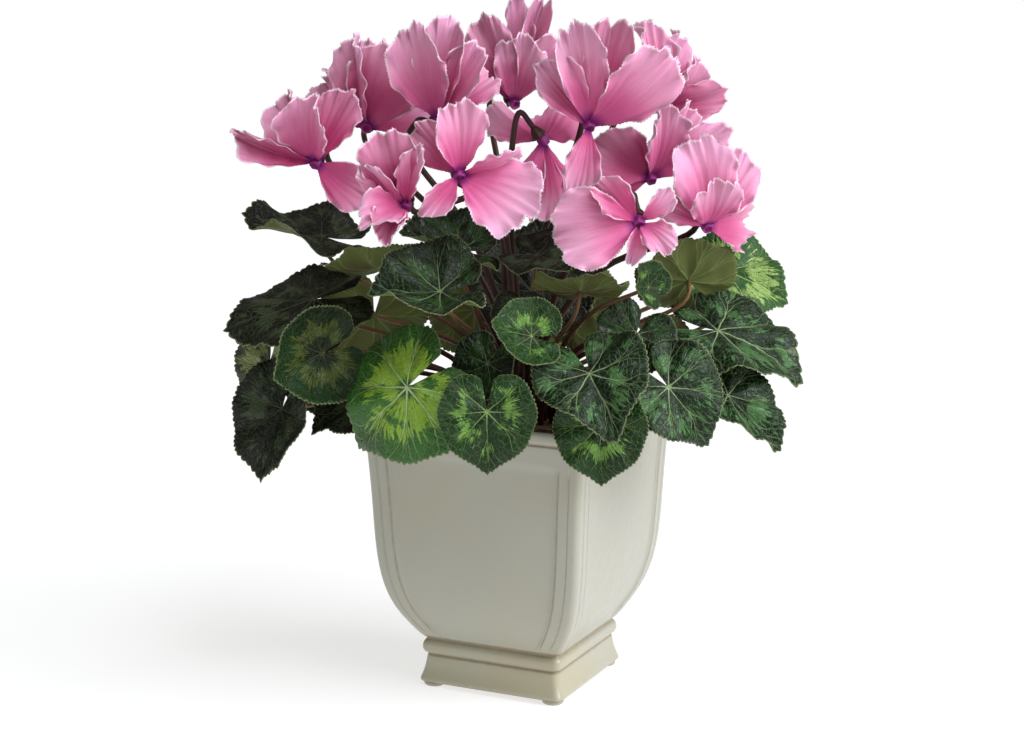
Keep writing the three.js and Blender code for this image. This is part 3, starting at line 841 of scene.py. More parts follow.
@dataclass
class Pot:
    """Square footed planter with raised corner strips round a panel on each side.

    A row of `outside` has the height, half of the width and how far the panel is set back. A row of
    `inside` has the height and half of the width, and one of `grooves` the height and the width.
    """

    corner: float = 5.0
    inner_corner: float = 8.0
    corner_steps: Triple = (-67, -45, -23)
    strip: float = 17.0
    fillet: float = 1.8
    nub_radius: float = 7.5
    nub_height: float = 5.0
    nub_reach: float = 45.5
    nub_edge: float = 1.4
    # Width and strength of the shade painted along the panels' edges.
    ledge_width: float = 1.1
    ledge_share: float = 0.3
    panel: Pair = (40, 172)
    outside: tuple[Triple, ...] = (
        (3.1, 50.5, 0), (3.1, 53.2, 0), (4.0, 54.2, 0), (5.4, 54.4, 0), (9, 53, 0), (15, 51.4, 0),
        (21.6, 50.6, 0), (22.8, 50.1, 0), (23.6, 50.0, 0), (24.2, 51.4, 0), (25.4, 52.6, 0),
        (27.6, 53, 0), (30.2, 53, 0), (32.2, 52.2, 0), (33.8, 50.8, 0), (34.8, 50.6, 0),
        (35.8, 52.1, 0), (37.4, 53.8, 0.5), (41, 56.4, 1.6), (48, 60.9, 1.6), (58, 66.7, 1.6),
        (71, 71.6, 1.6), (88, 75.1, 1.6), (112, 77.1, 1.6), (140, 78.1, 1.6), (166, 79.8, 1.6),
        (170.6, 80.1, 1.2), (173.4, 80.3, 0.2), (177, 80.7, 0), (182, 81.5, 0), (186.4, 82.6, 0),
        (187.4, 82.4, 0), (188.2, 82, 0), (189, 83.2, 0), (190.4, 84.2, 0), (194, 84.9, 0),
        (196.4, 84.6, 0), (197.2, 83.8, 0),
    )
    inside: tuple[Pair, ...] = (
        (197.2, 82.0), (196, 80.9), (192, 79.6), (188, 78), (172, 74.2), (150, 73.1),
        (112, 70.8), (82, 68), (64, 61.5), (53, 51), (46.4, 42), (46, 38),
    )
    # Grooves where shade is painted into the glaze: height and width.
    grooves: tuple[Pair, ...] = ((22.9, 1.8), (35.0, 2.6), (188.2, 1.6), (3.1, 1.5))

    def ring(self, height: float, half: float, corner: float, recess: float) -> list[Triple]:
        """Gives one ring of the pot's cage.

        Args:
            height: Its height.
            half: Half of its width.
            corner: Radius of its corners.
            recess: How far the panel is set back.

        Returns:
            Its points, in order round the pot.
        """
        flat = half - corner
        edge = half - self.strip
        inner = edge - self.fillet
        local = [(inner - self.fillet, recess - half), (inner, recess - half), (edge, -half),
                 (edge + self.fillet, -half), (flat, -half)]
        local = [(-x, y) for x, y in reversed(local)] + local
        for bend in map(math.radians, self.corner_steps):
            local.append((flat + corner * math.cos(bend), corner * math.sin(bend) - flat))
        return [(x * cos - y * sin, x * sin + y * cos, height)
                for cos, sin in ((1, 0), (0, 1), (-1, 0), (0, -1)) for x, y in local]

    def cage(self) -> np.ndarray:
        """Gives every ring of the cage, closed by a point at each end."""
        rings = [self.ring(z, half, self.corner, recess) for z, half, recess in self.outside]
        rings += [self.ring(z, half, self.inner_corner, 0.0) for z, half in self.inside]
        first, last = (np.zeros((1, len(rings[0]), 3)) + [0.0, 0.0, rings[end][0][2]] for end in (0, -1))
        return np.concatenate([first, np.array(rings), last])

    def shell(self) -> Object:
        """Makes the pot's body from its cage."""
        cage = self.cage()
        rows, count = cage.shape[:2]
        blank = Blank("pot_blank", count, rows - 1)
        column = np.rint(blank.across * count).astype(int) % count
        row = np.rint(blank.along * (rows - 1)).astype(int)
        shell = blank.merged("pot_shell", cage[row, column], closed=True)
        finish_modifier(shell, "SUBSURF", levels=2, render_levels=2)
        return shell

    def nub(self, x: float, y: float) -> Object:
        """Makes one of the round nubs that the pot stands on.

        Args:
            x: Its place along X.
            y: Its place along Y.

        Returns:
            The nub.
        """
        take_up()
        bpy.ops.mesh.primitive_cylinder_add(
            vertices=40, radius=self.nub_radius * MM, depth=self.nub_height * MM,
            location=(x * MM, y * MM, self.nub_height / 2 * MM))
        nub = bpy.context.active_object
        bpy.ops.object.transform_apply(location=True, rotation=False, scale=False)
        finish_modifier(nub, "BEVEL", width=self.nub_edge * MM, segments=4)
        return nub

    def painted_groove_shade(self, points: np.ndarray) -> np.ndarray:
        """Tells where shade is painted into the glaze: in the grooves and on the panels' edges.

        Args:
            points: Points of the pot, one row each.

        Returns:
            A number from 0 to 1 for each point.
        """
        height = points[:, 2]
        sides = np.abs(points[:, :2])
        inset = sides.min(axis=1) - sides.max(axis=1) + self.strip - 1.0
        ledge = np.exp(-((inset / self.ledge_width) ** 2)) * self.ledge_share
        lines = [np.exp(-((height - at) / width) ** 2) for at, width in self.grooves]
        return np.maximum.reduce([*lines, ledge * ((height > self.panel[0]) & (height < self.panel[1]))])

    def build(self) -> None:
        """Builds the pot and sets it in the part."""
        ends = (-self.nub_reach, self.nub_reach)
        pot = join("glazed_pot", self.shell(), *[self.nub(x, y) for x in ends for y in ends])
        # Marks where shade is painted into the glaze.
        carry(pot, "painted_groove_shade", self.painted_groove_shade(read_points(pot.data) / MM).astype(np.float32))
        dress(pot, Glaze().make())
        settle(pot, "pot_glaze", "pot")


@dataclass
class Ground:
    """The potting mix and the tuber that every stalk grows from."""

    soil_top: float = 183.0
    soil_half: float = 75.6
    soil_depth: float = 120.0
    soil_low_half: float = 44.0
    mound: float = 2.2
    dip: float = 1.6
    crumb: float = 0.9
    brim: float = 0.7
    turn_in: float = 0.9
    corm_low: float = 158.0
    corm_top: float = 187.3
    corm_profile: tuple[Pair, ...] = (
        (0, 0), (20, 1.0), (34, 8), (39.4, 18), (38.4, 25), (35, 28.2), (30, 29), (16, 29.2), (0, 29.3))

    def soil(self) -> Object:
        """Makes the block of potting mix, with a grid over its crumbly top, sides and bottom."""
        blank = Blank("soil_blank", 96, 40)
        angle, along = blank.across * FULL_TURN, blank.along
        spread = np.clip(along / self.brim, 0.0, 1.0)
        square = (np.abs(np.cos(angle)) ** 8 + np.abs(np.sin(angle)) ** 8) ** (-1 / 8)
        fall = smooth_step(along, self.brim, self.turn_in)
        reach = self.soil_half * spread * square * (1 - fall * (1 - self.soil_low_half / self.soil_half))
        reach *= 1 - smooth_step(along, self.turn_in, 1.0)
        x, y = reach * np.cos(angle), reach * np.sin(angle)
        crumbs = np.sin(x * 0.9 + 2 * np.sin(y * 0.7)) * np.sin(y * 1.1 + 2 * np.sin(x * 0.6))
        rise = self.mound * (1 - spread ** 2) - self.dip * spread ** 6 + crumbs * self.crumb
        z = self.soil_top + rise * (1 - fall) - self.soil_depth * fall
        return blank.merged("potting_soil", np.column_stack([x, y, z]), closed=True)

    def corm(self) -> Object:
        """Makes the flat round tuber with its lumps."""
        blank = Blank("corm_blank", 64, len(self.corm_profile) * 4)
        angle = blank.across * FULL_TURN
        reach, height = on_profile(self.corm_profile, blank.along)
        reach = reach * (1 + 0.02 * np.sin(5 * angle + height * 0.3) + 0.012 * np.sin(11 * angle))
        points = np.column_stack([reach * np.cos(angle), reach * np.sin(angle), self.corm_low + height])
        return blank.merged("flower_corm", points, closed=True)

    def build(self) -> None:
        """Builds both and sets them in the part."""
        for piece, skin, node in ((self.soil(), PEAT, "soil"), (self.corm(), CORK, "tuber")):
            join(piece.name, piece)
            dress(piece, skin.make())
            settle(piece, node, node)


# The crown.


SEAT_LEVEL = 187.0


def steepness(target: np.ndarray) -> float:
    """Tells how steeply the stalk to a target rises."""
    return (target[2] - SEAT_LEVEL) / math.hypot(target[0], target[1])


def seats_for(targets: list[np.ndarray], rings: Sequence[tuple[float, int]]) -> list[np.ndarray]:
    """Gives each stalk its seat on the tuber, the steepest ones in the inner rings.

    Args:
        targets: Where each stalk goes.
        rings: The radius of each ring of seats and how many it holds.

    Returns:
        The seats in the order of the targets.
    """
    order = sorted(range(len(targets)), key=lambda i: -steepness(targets[i]))
    seats: list[np.ndarray] = [np.zeros(3)] * len(targets)
    start = 0
    for radius, count in rings:
        members = order[start:start + count]
        start += count
        bearings = {i: math.atan2(targets[i][1], targets[i][0]) for i in members}
        members.sort(key=bearings.get)
        gap = FULL_TURN / len(members)
        shift = sum(bearings[i] - slot * gap for slot, i in enumerate(members)) / len(members)
        for slot, member in enumerate(members):
            angle = shift + slot * gap
            seats[member] = np.array([radius * math.cos(angle), radius * math.sin(angle), Ground.corm_top])
    return seats


def bezier(corners: Sequence[np.ndarray], steps: int) -> np.ndarray:
    """Gives points along a cubic curve.

    Args:
        corners: Its four corners.
        steps: How many points.

    Returns:
        The points.
    """
    share = np.linspace(0.0, 1.0, steps)[:, None]
    back = 1.0 - share
    a, b, c, d = corners
    return back**3 * a + 3 * back**2 * share * b + 3 * back * share**2 * c + share**3 * d


def through(points: Sequence[np.ndarray], steps: int) -> np.ndarray:
    """Gives points along a smooth curve through all of the given ones.

    Args:
        points: The points that it goes through.
        steps: How many points.

    Returns:
        The points.
    """
    table = np.array(points)
    table = np.vstack([2 * table[0] - table[1], table, 2 * table[-1] - table[-2]])
    spans = len(points) - 1
    place = np.linspace(0.0, spans, steps)
    index = np.minimum(place.astype(int), spans - 1)
    share = (place - index)[:, None]
    before, start, end, after = (table[index + k] for k in range(4))
    first = (end - before) / 2
    last = (after - start) / 2
    square, cube = share**2, share**3
    return ((2 * cube - 3 * square + 1) * start + (cube - 2 * square + share) * first
            + (3 * square - 2 * cube) * end + (cube - square) * last)


# Leaves.


@dataclass(frozen=True)
class LeafPlan:
    """Where a leaf is and how its blade is bent.

    The stalk meets the blade at `at`, `tip` goes from there to the tip, and `face` is the way that
    the upper face looks.
    """

    at: Triple
    tip: Triple
    face: Triple
    kind: LeafKind
    cup: float = 0.06
    fold: float = 0.05
    droop: float = 0.1
    wave: float = 0.06
    twist: float = 0.0
    slim: float = 1.0
    size: float = 1.0


LEAVES = (
    LeafPlan((-138, -15, 311), (-52, 8, 10), (-0.05, 0.26, 0.96), LeafKind.CHARCOAL, fold=0.12, droop=-0.1,
             wave=0.16, twist=0.15, slim=0.85),
    LeafPlan((-141, 24, 273), (-62, 10, -14), (-0.15, 0.41, 0.88), LeafKind.CHARCOAL, size=0.93,
             fold=-0.16, cup=0.02, droop=0.1, wave=0.1),
    LeafPlan((-131, 73, 245), (-36, 18, -14), (0.8, 0.55, 0.3), LeafKind.RINGED, cup=0.5, size=0.92),
    LeafPlan((-174, 3, 224), (-6, 8, -44), (-0.8, 0.5, 0.3), LeafKind.SAGE, fold=0.14, wave=0.09),
    LeafPlan((-160, 55, 204), (-17, 8, -45), (-0.5, 0.8, 0.35), LeafKind.CHARCOAL, fold=0.3, slim=0.76),
    LeafPlan((-143, 16, 221), (4, 10, -32), (-0.1, 0.85, 0.5), LeafKind.CHARCOAL, wave=0.08, size=0.84),
    LeafPlan((-73, 118, 231), (-41, -2, -35), (-0.3, 0.9, 0.3), LeafKind.BRIGHT, cup=-0.42, fold=-0.08,
             droop=0.0, wave=0.05),
    LeafPlan((-106, 56, 208), (-34, 8, -9), (-0.3, 0.5, 0.8), LeafKind.CHARCOAL, cup=-0.05, wave=0.1),
    LeafPlan((-52, 108, 291), (-43, 6, 1), (0.1, 0.52, 0.84), LeafKind.VEINED, cup=0.26, fold=0.22,
             wave=0.14),
    LeafPlan((-41, 50, 311), (-37, 10, 12), (0.35, 0.4, 0.84), LeafKind.VEINED, cup=0.24, fold=0.14,
             wave=0.1),
    LeafPlan((-94, 38, 296), (-36, 20, 4), (0.05, -0.45, 0.88), LeafKind.CHARCOAL, cup=0.2),
    LeafPlan((-22, 84, 240), (-15, 6, -28), (-0.5, 0.75, 0.4), LeafKind.VEINED, fold=0.2, size=0.92),
    LeafPlan((6, 118, 264), (-24, 6, 6), (0.1, 0.82, 0.56), LeafKind.FRESH, cup=0.4, size=1.12),
    LeafPlan((-22, 136, 219), (0, 6, -39), (0, 0.93, 0.32), LeafKind.FRESH, cup=-0.06, fold=0.12,
             size=0.96),
    LeafPlan((43, 119, 240), (14, 32, -26), (-0.05, 0.75, 0.65), LeafKind.SILVER, cup=-0.06, fold=0.3,
             size=1.04, wave=0.17),
    LeafPlan((50, 120, 207), (0, 8, -36), (-0.1, 0.9, 0.35), LeafKind.FRESH, cup=-0.1, fold=0.14),
    LeafPlan((95, 92, 226), (29, 10, -29), (0.15, 0.8, 0.5), LeafKind.SILVER, fold=0.34, cup=-0.2,
             wave=0.12),
    LeafPlan((137, 60, 214), (39, 6, -33), (0.3, 0.5, 0.8), LeafKind.SILVER, fold=0.2, slim=0.76,
             size=0.94),
    LeafPlan((133, 28, 252), (57, 12, -12), (0, 0.36, 0.93), LeafKind.SILVER, cup=-0.1, fold=0.14,
             droop=0.16, wave=0.12),
    LeafPlan((146, -45, 283), (43, 6, -13), (0.2, 0.72, 0.64), LeafKind.BLOTCHED, cup=-0.1, fold=0.08,
             wave=0.12),
    LeafPlan((81, 95, 292), (-10, 5, 13), (0, 0.7, 0.7), LeafKind.FRESH, cup=0.5, size=1.1),
    LeafPlan((38, 66, 285), (0, 32, 14), (0.05, -0.45, 0.88), LeafKind.FRESH, cup=0.1, size=1.1, wave=0.1),
    LeafPlan((112, 32, 287), (-18, 26, 28), (-0.2, -0.6, 0.7), LeafKind.FRESH, cup=0.1, wave=0.1),
    LeafPlan((10, 51, 307), (29, 16, -3), (-0.05, 0.43, 0.89), LeafKind.CHARCOAL, cup=0.14, wave=0.1),
    LeafPlan((-1, 62, 270), (-1, 8, -32), (-0.1, 0.85, 0.4), LeafKind.CHARCOAL, cup=0.1, fold=0.1,
             size=0.7),
    LeafPlan((148, -68, 250), (36, -14, -26), (0.4, -0.2, 0.9), LeafKind.SILVER, cup=0.05),
    LeafPlan((96, -92, 224), (28, -28, -28), (0.3, -0.6, 0.75), LeafKind.FRESH, fold=0.1),
    LeafPlan((38, -78, 259), (0, -8, -44), (0, -0.9, 0.4), LeafKind.SILVER, cup=0.08, size=0.88),
    LeafPlan((-4, -128, 220), (-4, -32, -38), (0, -0.8, 0.6), LeafKind.FRESH, cup=0.03),
    LeafPlan((-34, -84, 249), (0, -10, -46), (0, -0.9, 0.4), LeafKind.RINGED, wave=0.1, size=0.9),
    LeafPlan((-106, -68, 248), (-6, -12, -44), (-0.2, -0.9, 0.4), LeafKind.SAGE, fold=0.12, size=1.08),
    LeafPlan((76, 58, 255), (-14, 24, -24), (0.1, 0.8, 0.6), LeafKind.VEINED, cup=0.12, wave=0.12,
             size=0.92),
    LeafPlan((8, -46, 268), (6, -20, 36), (0, 0.85, 0.4), LeafKind.CHARCOAL, cup=0.1, wave=0.1, size=1.3),
)

LEAF_RINGS = ((20.5, 14), (29.0, 19))
LEAF_OUTLINE = ((0, 1.04), (12, 0.94), (35, 0.88), (65, 0.84), (95, 0.82), (125, 0.8), (145, 0.76),
                (160, 0.66), (172, 0.5))


@dataclass
class Leaves:
    """Every leaf, each with its blade and its stalk in one piece.

    Each curl has its depth, how fast it grows outwards and how many there are round the leaf.
    """

    spokes: int = 130
    rings: int = 15
    tooth: float = 0.03
    lobe: float = 0.014
    curls: tuple[Triple, ...] = ((0.045, 3.5, 8), (0.02, 6, 21))
    puff: float = 0.022
    groove: float = 0.024
    groove_width: float = 4.0
    pillow: float = 0.018
    thickness: float = 0.6
    stalk_radius: float = 1.7
    stalk_steps: int = 18
    stalk_taper: Triple = (1.25, 0.55, 0.35)
    stalk_lift: Triple = (26.0, 0.6, 16.0)
    arrival: Pair = (0.25, 0.97)
    arrival_share: float = 0.3
    sink: float = 0.05

    def __post_init__(self) -> None:
        """Makes the blanks and the finishes that the leaves share."""
        self.blade_blank = Blank("blade_blank", self.spokes, self.rings, toothed=True)
        self.stalk_blank = Blank("stalk_blank", 10, self.stalk_steps + 1)
        self.uppers = {kind: LeafSkin(kind.value).make("leaf_" + kind.name.lower()) for kind in LeafKind}
        self.under = LeafSkin(LeafKind.FRESH.value).make("leaf_underside", under=True)
        self.stalk = StalkSkin("leaf_stalk", "42251c", "76573a").make()

    def relief(self, plan: LeafPlan, draw: Draw, x: np.ndarray, y: np.ndarray) -> np.ndarray:
        """Gives how far the blade stands out of its plane, as a share of its length.

        Args:
            plan: The leaf's plan.
            draw: The leaf's own draw.
            x: Places towards the tip, as shares of the length.
            y: Places to the side, as shares of the length.

        Returns:
            The height at each place.
        """
        phase = draw() * math.pi
        reach = np.hypot(x, y)
        angle = np.arctan2(y, x)
        bend = np.where(x > 0, plan.droop * x * x, 0.0)
        ripple = plan.wave * reach**2 * np.sin(5 * angle + phase)
        curls = sum(depth * reach**power * np.sin(count * angle + draw() * 3.0)
                    for depth, power, count in self.curls)
        turn = np.degrees(angle)
        turn -= VEIN_TURN * np.rint(turn / VEIN_TURN)
        groove = np.exp(-((turn * reach / self.groove_width) ** 2)) * smooth_step(reach, 0.05, 0.25)
        puffs = np.sin(9.0 * x + phase + 1.5 * np.sin(7.0 * y)) * np.sin(10.0 * y - phase)
        pillow = np.cos(FULL_TURN * turn / VEIN_TURN) * smooth_step(reach, 0.1, 0.5)
        quilt = self.puff * puffs * reach - self.groove * groove * (1.0 - 0.5 * reach) - self.pillow * pillow
        form = plan.cup * reach**2 + plan.fold * np.abs(y) + plan.twist * x * y - bend
        return form + ripple + curls + quilt

    def blade(self, number: int, plan: LeafPlan, axes: np.ndarray) -> Object:
        """Makes one blade.

        Args:
            number: The leaf's number.
            plan: The leaf's plan.
            axes: The ways to its tip, its side and its upper face.

        Returns:
            The blade.
        """
        length = float(np.linalg.norm(plan.tip)) * plan.size
        degrees, reaches = np.array(LEAF_OUTLINE).T
        across, along = self.blade_blank.across, self.blade_blank.along
        turn = (1.0 - 2.0 * across) * LEAF_SPAN
        lobe = np.cos(FULL_TURN * turn / VEIN_TURN) * self.lobe * along**3
        share = along * np.interp(np.abs(turn), degrees, reaches) * (1.0 + lobe)
        rank = across * self.spokes
        scallop = np.abs(np.sin(math.pi * rank / 2.0)) - 0.6
        tooth = scallop * self.tooth * (1.0 + 0.4 * np.sin(rank * 1.3))
        share = np.where(along > AT_MARGIN, share * (1.0 + tooth), share)
        angle = np.radians(turn)
        x, y = share * np.cos(angle), share * np.sin(angle)
        local = np.column_stack([x, y * plan.slim, self.relief(plan, Draw(number), x, y)])
        return self.blade_blank.merged("blade", to_pot(plan.at) + local * length @ axes)

    def petiole(self, plan: LeafPlan, seat: np.ndarray, axes: np.ndarray) -> Object:
        """Makes the stalk from its seat on the tuber to the back of the blade.

        Args:
            plan: The leaf's plan.
            seat: Its seat.
            axes: The ways to the blade's tip, its side and its upper face.

        Returns:
            The stalk.
        """
        at = to_pot(plan.at)
        arrive = unit(to_pot(plan.tip)) * self.arrival[0] + axes[2] * self.arrival[1]
        span = float(np.linalg.norm(at - seat))
        least, share_up, more = self.stalk_lift
        lift = max(least, share_up * (at[2] - seat[2]) + more)
        before = at - arrive * self.arrival_share * span
        corners = (seat - UP, seat + UP * lift, before, at - arrive * self.sink)
        share = np.linspace(0.0, 1.0, self.stalk_steps)
        foot, loss, flare = self.stalk_taper
        radii = self.stalk_radius * (foot - loss * share + flare * smooth_step(share, 0.93, 1.0))
        return self.stalk_blank.tube("petiole", bezier(corners, self.stalk_steps), radii)

    def build(self) -> None:
        """Builds every leaf and sets it in the part."""
        seats = seats_for([to_pot(plan.at) for plan in LEAVES], LEAF_RINGS)
        for number, (plan, seat) in enumerate(zip(LEAVES, seats), start=1):
            axes = frame_of(to_pot(plan.tip), to_pot(plan.face))
            blade = self.blade(number, plan, axes)
            dress(blade, self.uppers[plan.kind], self.under)
            give_thickness(blade, self.thickness, under=1)
            petiole = self.petiole(plan, seat, axes)
            dress(petiole, self.stalk)
            settle(join(f"cyclamen_leaf_{number:02d}", blade, petiole), "leaf", f"leaf_{number:02d}")


# Blooms.


@dataclass(frozen=True)
class BloomPlan:
    """Where a bloom's mouth is, the way it looks and where its petals and stalk go.

    Each petal has the way from the mouth to its tip across, toward and up, then the share of its
    length that it is wide and the turn about its own length in degrees.
    """

    name: str
    mouth: Triple
    show: Triple
    petals: tuple[tuple[float, ...], ...]
    stalk: Triple | None = None
    hook: Triple | None = None
    via: Triple | None = None


BLOOMS = (
    BloomPlan("a", (-138, 20, 365), (-0.4, 0.8, 0.1),
              ((-51, 8, 21, 0.32), (-18, -6, 44, 0.7), (2, 22, 46, 0.75), (24, -4, 45, 0.6),
               (38, 10, -24, 0.7))),
    BloomPlan("b", (-107, -28, 385), (-0.3, 0.7, 0),
              ((-6, 4, 60, 0.5), (25, 14, 51, 0.9), (4, -26, 56, 0.6), (41, -14, 12), (-30, -30, 30)),
              stalk=(0, -1, 0.2)),
    BloomPlan("c", (-55, 12, 393), (-0.1, 0.9, 0),
              ((-17, 14, 61, 0.62), (8, -8, 64, 0.58), (27, 6, 48, 0.5), (30, -30, 30), (4, -46, 34)),
              stalk=(-0.6, -0.75, -0.1)),
    BloomPlan("d", (-5, -60, 400), (0, 0.6, 0),
              ((-22, 6, 58, 0.56), (6, 22, 46, 0.7), (31, -2, 42, 0.5), (2, -14, 74, 0.26),
               (20, -20, 67, 0.26)),
              stalk=(-0.5, -0.7, 0.4)),
    BloomPlan("e", (44, 50, 392), (0.2, 0.9, 0),
              ((-12, 10, 64, 0.5), (16, -14, 64, 0.5), (50, 16, 45, 0.66), (-10, 12, -44, 0.5),
               (-32, -2, 38, 0.66))),
    BloomPlan("f", (93, -45, 398), (0.4, 0.3, 0),
              ((-12, 4, 56, 0.45), (14, -8, 50, 0.5), (28, 4, 34, 0.6), (48, 8, 10, 0.45), (10, -40, 30)),
              stalk=(-0.7, -0.3, 0.2)),
    BloomPlan("g", (87, 14, 354), (0.3, 0.85, 0),
              ((-36, 14, 26, 0.85), (4, 16, 50, 0.7), (26, -16, 46, 0.6), (50, 2, 32, 0.45),
               (-30, -6, -8, 0.5))),
    BloomPlan("h", (121, 60, 327), (0.3, 0.85, 0.2),
              ((-10, 6, 55, 0.85), (4, 24, 32, 0.9), (25, -6, 45, 0.65), (-32, 10, 16, 0.45),
               (30, -40, -4))),
    BloomPlan("i", (74, 105, 335), (0.1, 0.9, 0.2),
              ((-52, 12, -5, 0.95), (-30, 4, 22, 0.7), (18, 18, -16, 0.75), (-7, 10, -25, 0.5),
               (20, 4, 20, 0.5)),
              via=(20, 22, 331)),
    BloomPlan("j", (-40, 86, 363), (0.1, 0.9, 0.1),
              ((-2, 12, 46, 0.76, 16), (45, 20, -24, 1.0, -14), (38, 2, 14, 0.6, 20),
               (-25, 10, -22, 0.55), (-26, -6, 30, 0.7)),
              via=(-14, 26, 334)),
    BloomPlan("k", (-74, 92, 344), (-0.2, 0.9, 0.2),
              ((-13, 8, 46, 0.75), (10, 14, 38, 0.45), (-26, 26, -9, 0.8), (-12, 24, -21, 0.7),
               (-27, 6, 25, 0.5)),
              via=(-18, 8, 336)),
    BloomPlan("m", (14, 45, 382), (0, -0.6, -0.5),
              ((-18, 22, -36, 0.5), (-2, 10, -50, 0.5), (16, 4, -46, 0.5), (-32, -14, 24, 0.72),
               (14, -40, 26, 0.75)),
              stalk=(-0.55, 0.25, 0.75), hook=(-0.75, -0.55, 0), via=(-8, 20, 336)),
)

SCAPE_RINGS = ((5.2, 4), (13.0, 8))
PETAL_WIDTHS = ((0, 0.13), (0.12, 0.26), (0.28, 0.5), (0.45, 0.74), (0.62, 0.92), (0.8, 1.0), (1, 0.99))


@dataclass
class Blooms:
    """Every bloom: five petals round a short mouth, and the hooked stalk with its calyx.

    Each frill has its depth, how often it turns over the petal's width and the number of its phase.
    A row of `mouth` or `calyx` has the radius and the height.
    """

    columns: int = 44
    rows: int = 28
    thickness: float = 0.5
    broad: float = 0.66
    full: float = 1.12
    bow: float = 0.1
    fold: float = 0.28
    fold_spread: float = 0.22
    twist_spread: float = 14.0
    frills: tuple[tuple[float, float, int], ...] = ((0.06, 9.0, 3), (0.036, 23.0, 4), (0.016, 45.0, 2))
    side_frill: float = 0.045
    pleats: Pair = (0.007, 0.03)
    jag: float = 0.01
    curl: float = 0.06
    root: float = 2.6
    mouth_depth: float = 4.4
    mouth: tuple[Pair, ...] = ((0, 4.4), (2.66, 4.4), (3.8, 1.76), (3.876, -1.5), (3.268, -3.2),
                               (2.508, -2.2), (1.9, 0.5), (0, 1.4))
    mouth_lobes: float = 0.08
    calyx_length: float = 7.0
    calyx: tuple[Pair, ...] = ((0, 0.2), (3.2, 0), (4.6, 0.6), (4.08, 2.6), (3.2, 4.9), (2.2, 7.0), (0, 7.6))
    calyx_lobes: float = 0.16
    cup_gap: float = 0.3
    cup_sink: float = 0.4
    stalk_sink: float = 1.0
    hook_height: float = 13.0
    hook_out: float = 3.0
    neck_out: float = 6.0
    neck_drop: float = 22.0
    crown_rise: float = 45.0
    middle_share: float = 0.4
    middle_lift: float = 24.0
    scape_taper: Pair = (1.2, 0.35)
    scape_radius: float = 2.1
    scape_steps: int = 40

    def __post_init__(self) -> None:
        """Makes the blanks and the finishes that the blooms share."""
        self.petal_blank = Blank("petal_blank", self.columns, self.rows, toothed=True)
        self.round_blank = Blank("round_blank", 40, 12)
        self.scape_blank = Blank("scape_blank", 12, self.scape_steps + 1)
        self.petal_skin = PetalSkin().make()
        self.throat_skin = StalkSkin("petal_throat", "7c2468", "a8428e").make()
        # The flower stalk's foot colour is its own reddish brown, darkened as painted shade inside the
        # crown.
        self.scape_skin = StalkSkin("flower_stalk", "40281e", "3a2024").make()

    def petal(self, plan: BloomPlan, petal: tuple[float, ...], draw: Draw, own: Draw) -> Object:
        """Makes one frilled petal.

        Args:
            plan: The bloom's plan.
            petal: The petal's own numbers in the plan.
            draw: The bloom's draw, which the part's solids share.
            own: The draw for detail that only this mesh has.

        Returns:
            The petal.
        """
        broad, turn = (*petal[3:], *(self.broad, 0.0)[len(petal) - 3:])
        tip = to_pot(petal[:3])
        length = float(np.linalg.norm(tip))
        half = self.full * broad * length / 2.0
        twist = math.radians(turn + draw() * self.twist_spread)
        side = 1.0 if draw() > 0 else -1.0
        fold = self.fold + self.fold_spread * draw()
        axes = frame_of(tip, unit(to_pot(plan.show)) + 0.25 * unit(tip))
        cos, sin = math.cos(twist), math.sin(twist)
        axes = np.array([[1, 0, 0], [0, cos, sin], [0, -sin, cos]]) @ axes
        shares, widths = np.array(PETAL_WIDTHS).T
        phases = [own() * math.pi for _ in range(6)]
        curl = self.curl * own()
        across, along = self.petal_blank.across, self.petal_blank.along
        c = 2.0 * across - 1.0
        edge = np.abs(c)
        lobes = 0.03 * np.sin(5.0 * c + phases[0]) + 0.02 * np.sin(11.0 * c + phases[1])
        reach = (1.05 - 0.24 * edge**2.4) * (1.0 + lobes * along**2)
        wide = c * np.interp(along, shares, widths)
        rank = across * self.columns + along * self.rows
        jag = self.jag * np.cos(FULL_TURN * rank) * (1.0 + 0.6 * np.sin(rank * 2.7 + phases[2]))
        at_end, at_side = along > AT_MARGIN, edge > AT_MARGIN
        x = along * reach + np.where(at_end, jag, 0.0)
        y = wide + np.where(at_side & ~at_end, jag * np.sign(c) * 1.6, 0.0)
        y = y * (1.0 - 0.5 * abs(fold) * along)
        fan = np.arctan2(wide, along + 0.15)
        margin = np.maximum(edge**5 * smooth_step(along, 0.1, 0.5), along**7)
        frill = sum(depth * np.sin(count * fan + phases[k]) for depth, count, k in self.frills)
        frill += self.side_frill * np.sin(19.0 * along + phases[5]) * edge**3
        fine, coarse = self.pleats
        pleats = fine * np.sin(21.0 * fan + phases[1]) * along
        pleats += coarse * np.sin(5.0 * fan + phases[0]) * along**1.5
        z = self.bow * 4.0 * along * (1.0 - along) + margin * frill + pleats
        z += side * 0.06 * along * edge**2 * np.sign(c) + fold * along * edge**1.2 + curl * along**4
        local = np.column_stack([self.root + x * (length - self.root), y * half, z * length])
        made = self.petal_blank.shape("petal", to_pot(plan.mouth) + local @ axes)
        carry(made, "petal_tone", [0.5 + 0.5 * own()] * len(made.data.vertices))
        dress(made, self.petal_skin)
        give_thickness(made, self.thickness)
        return made

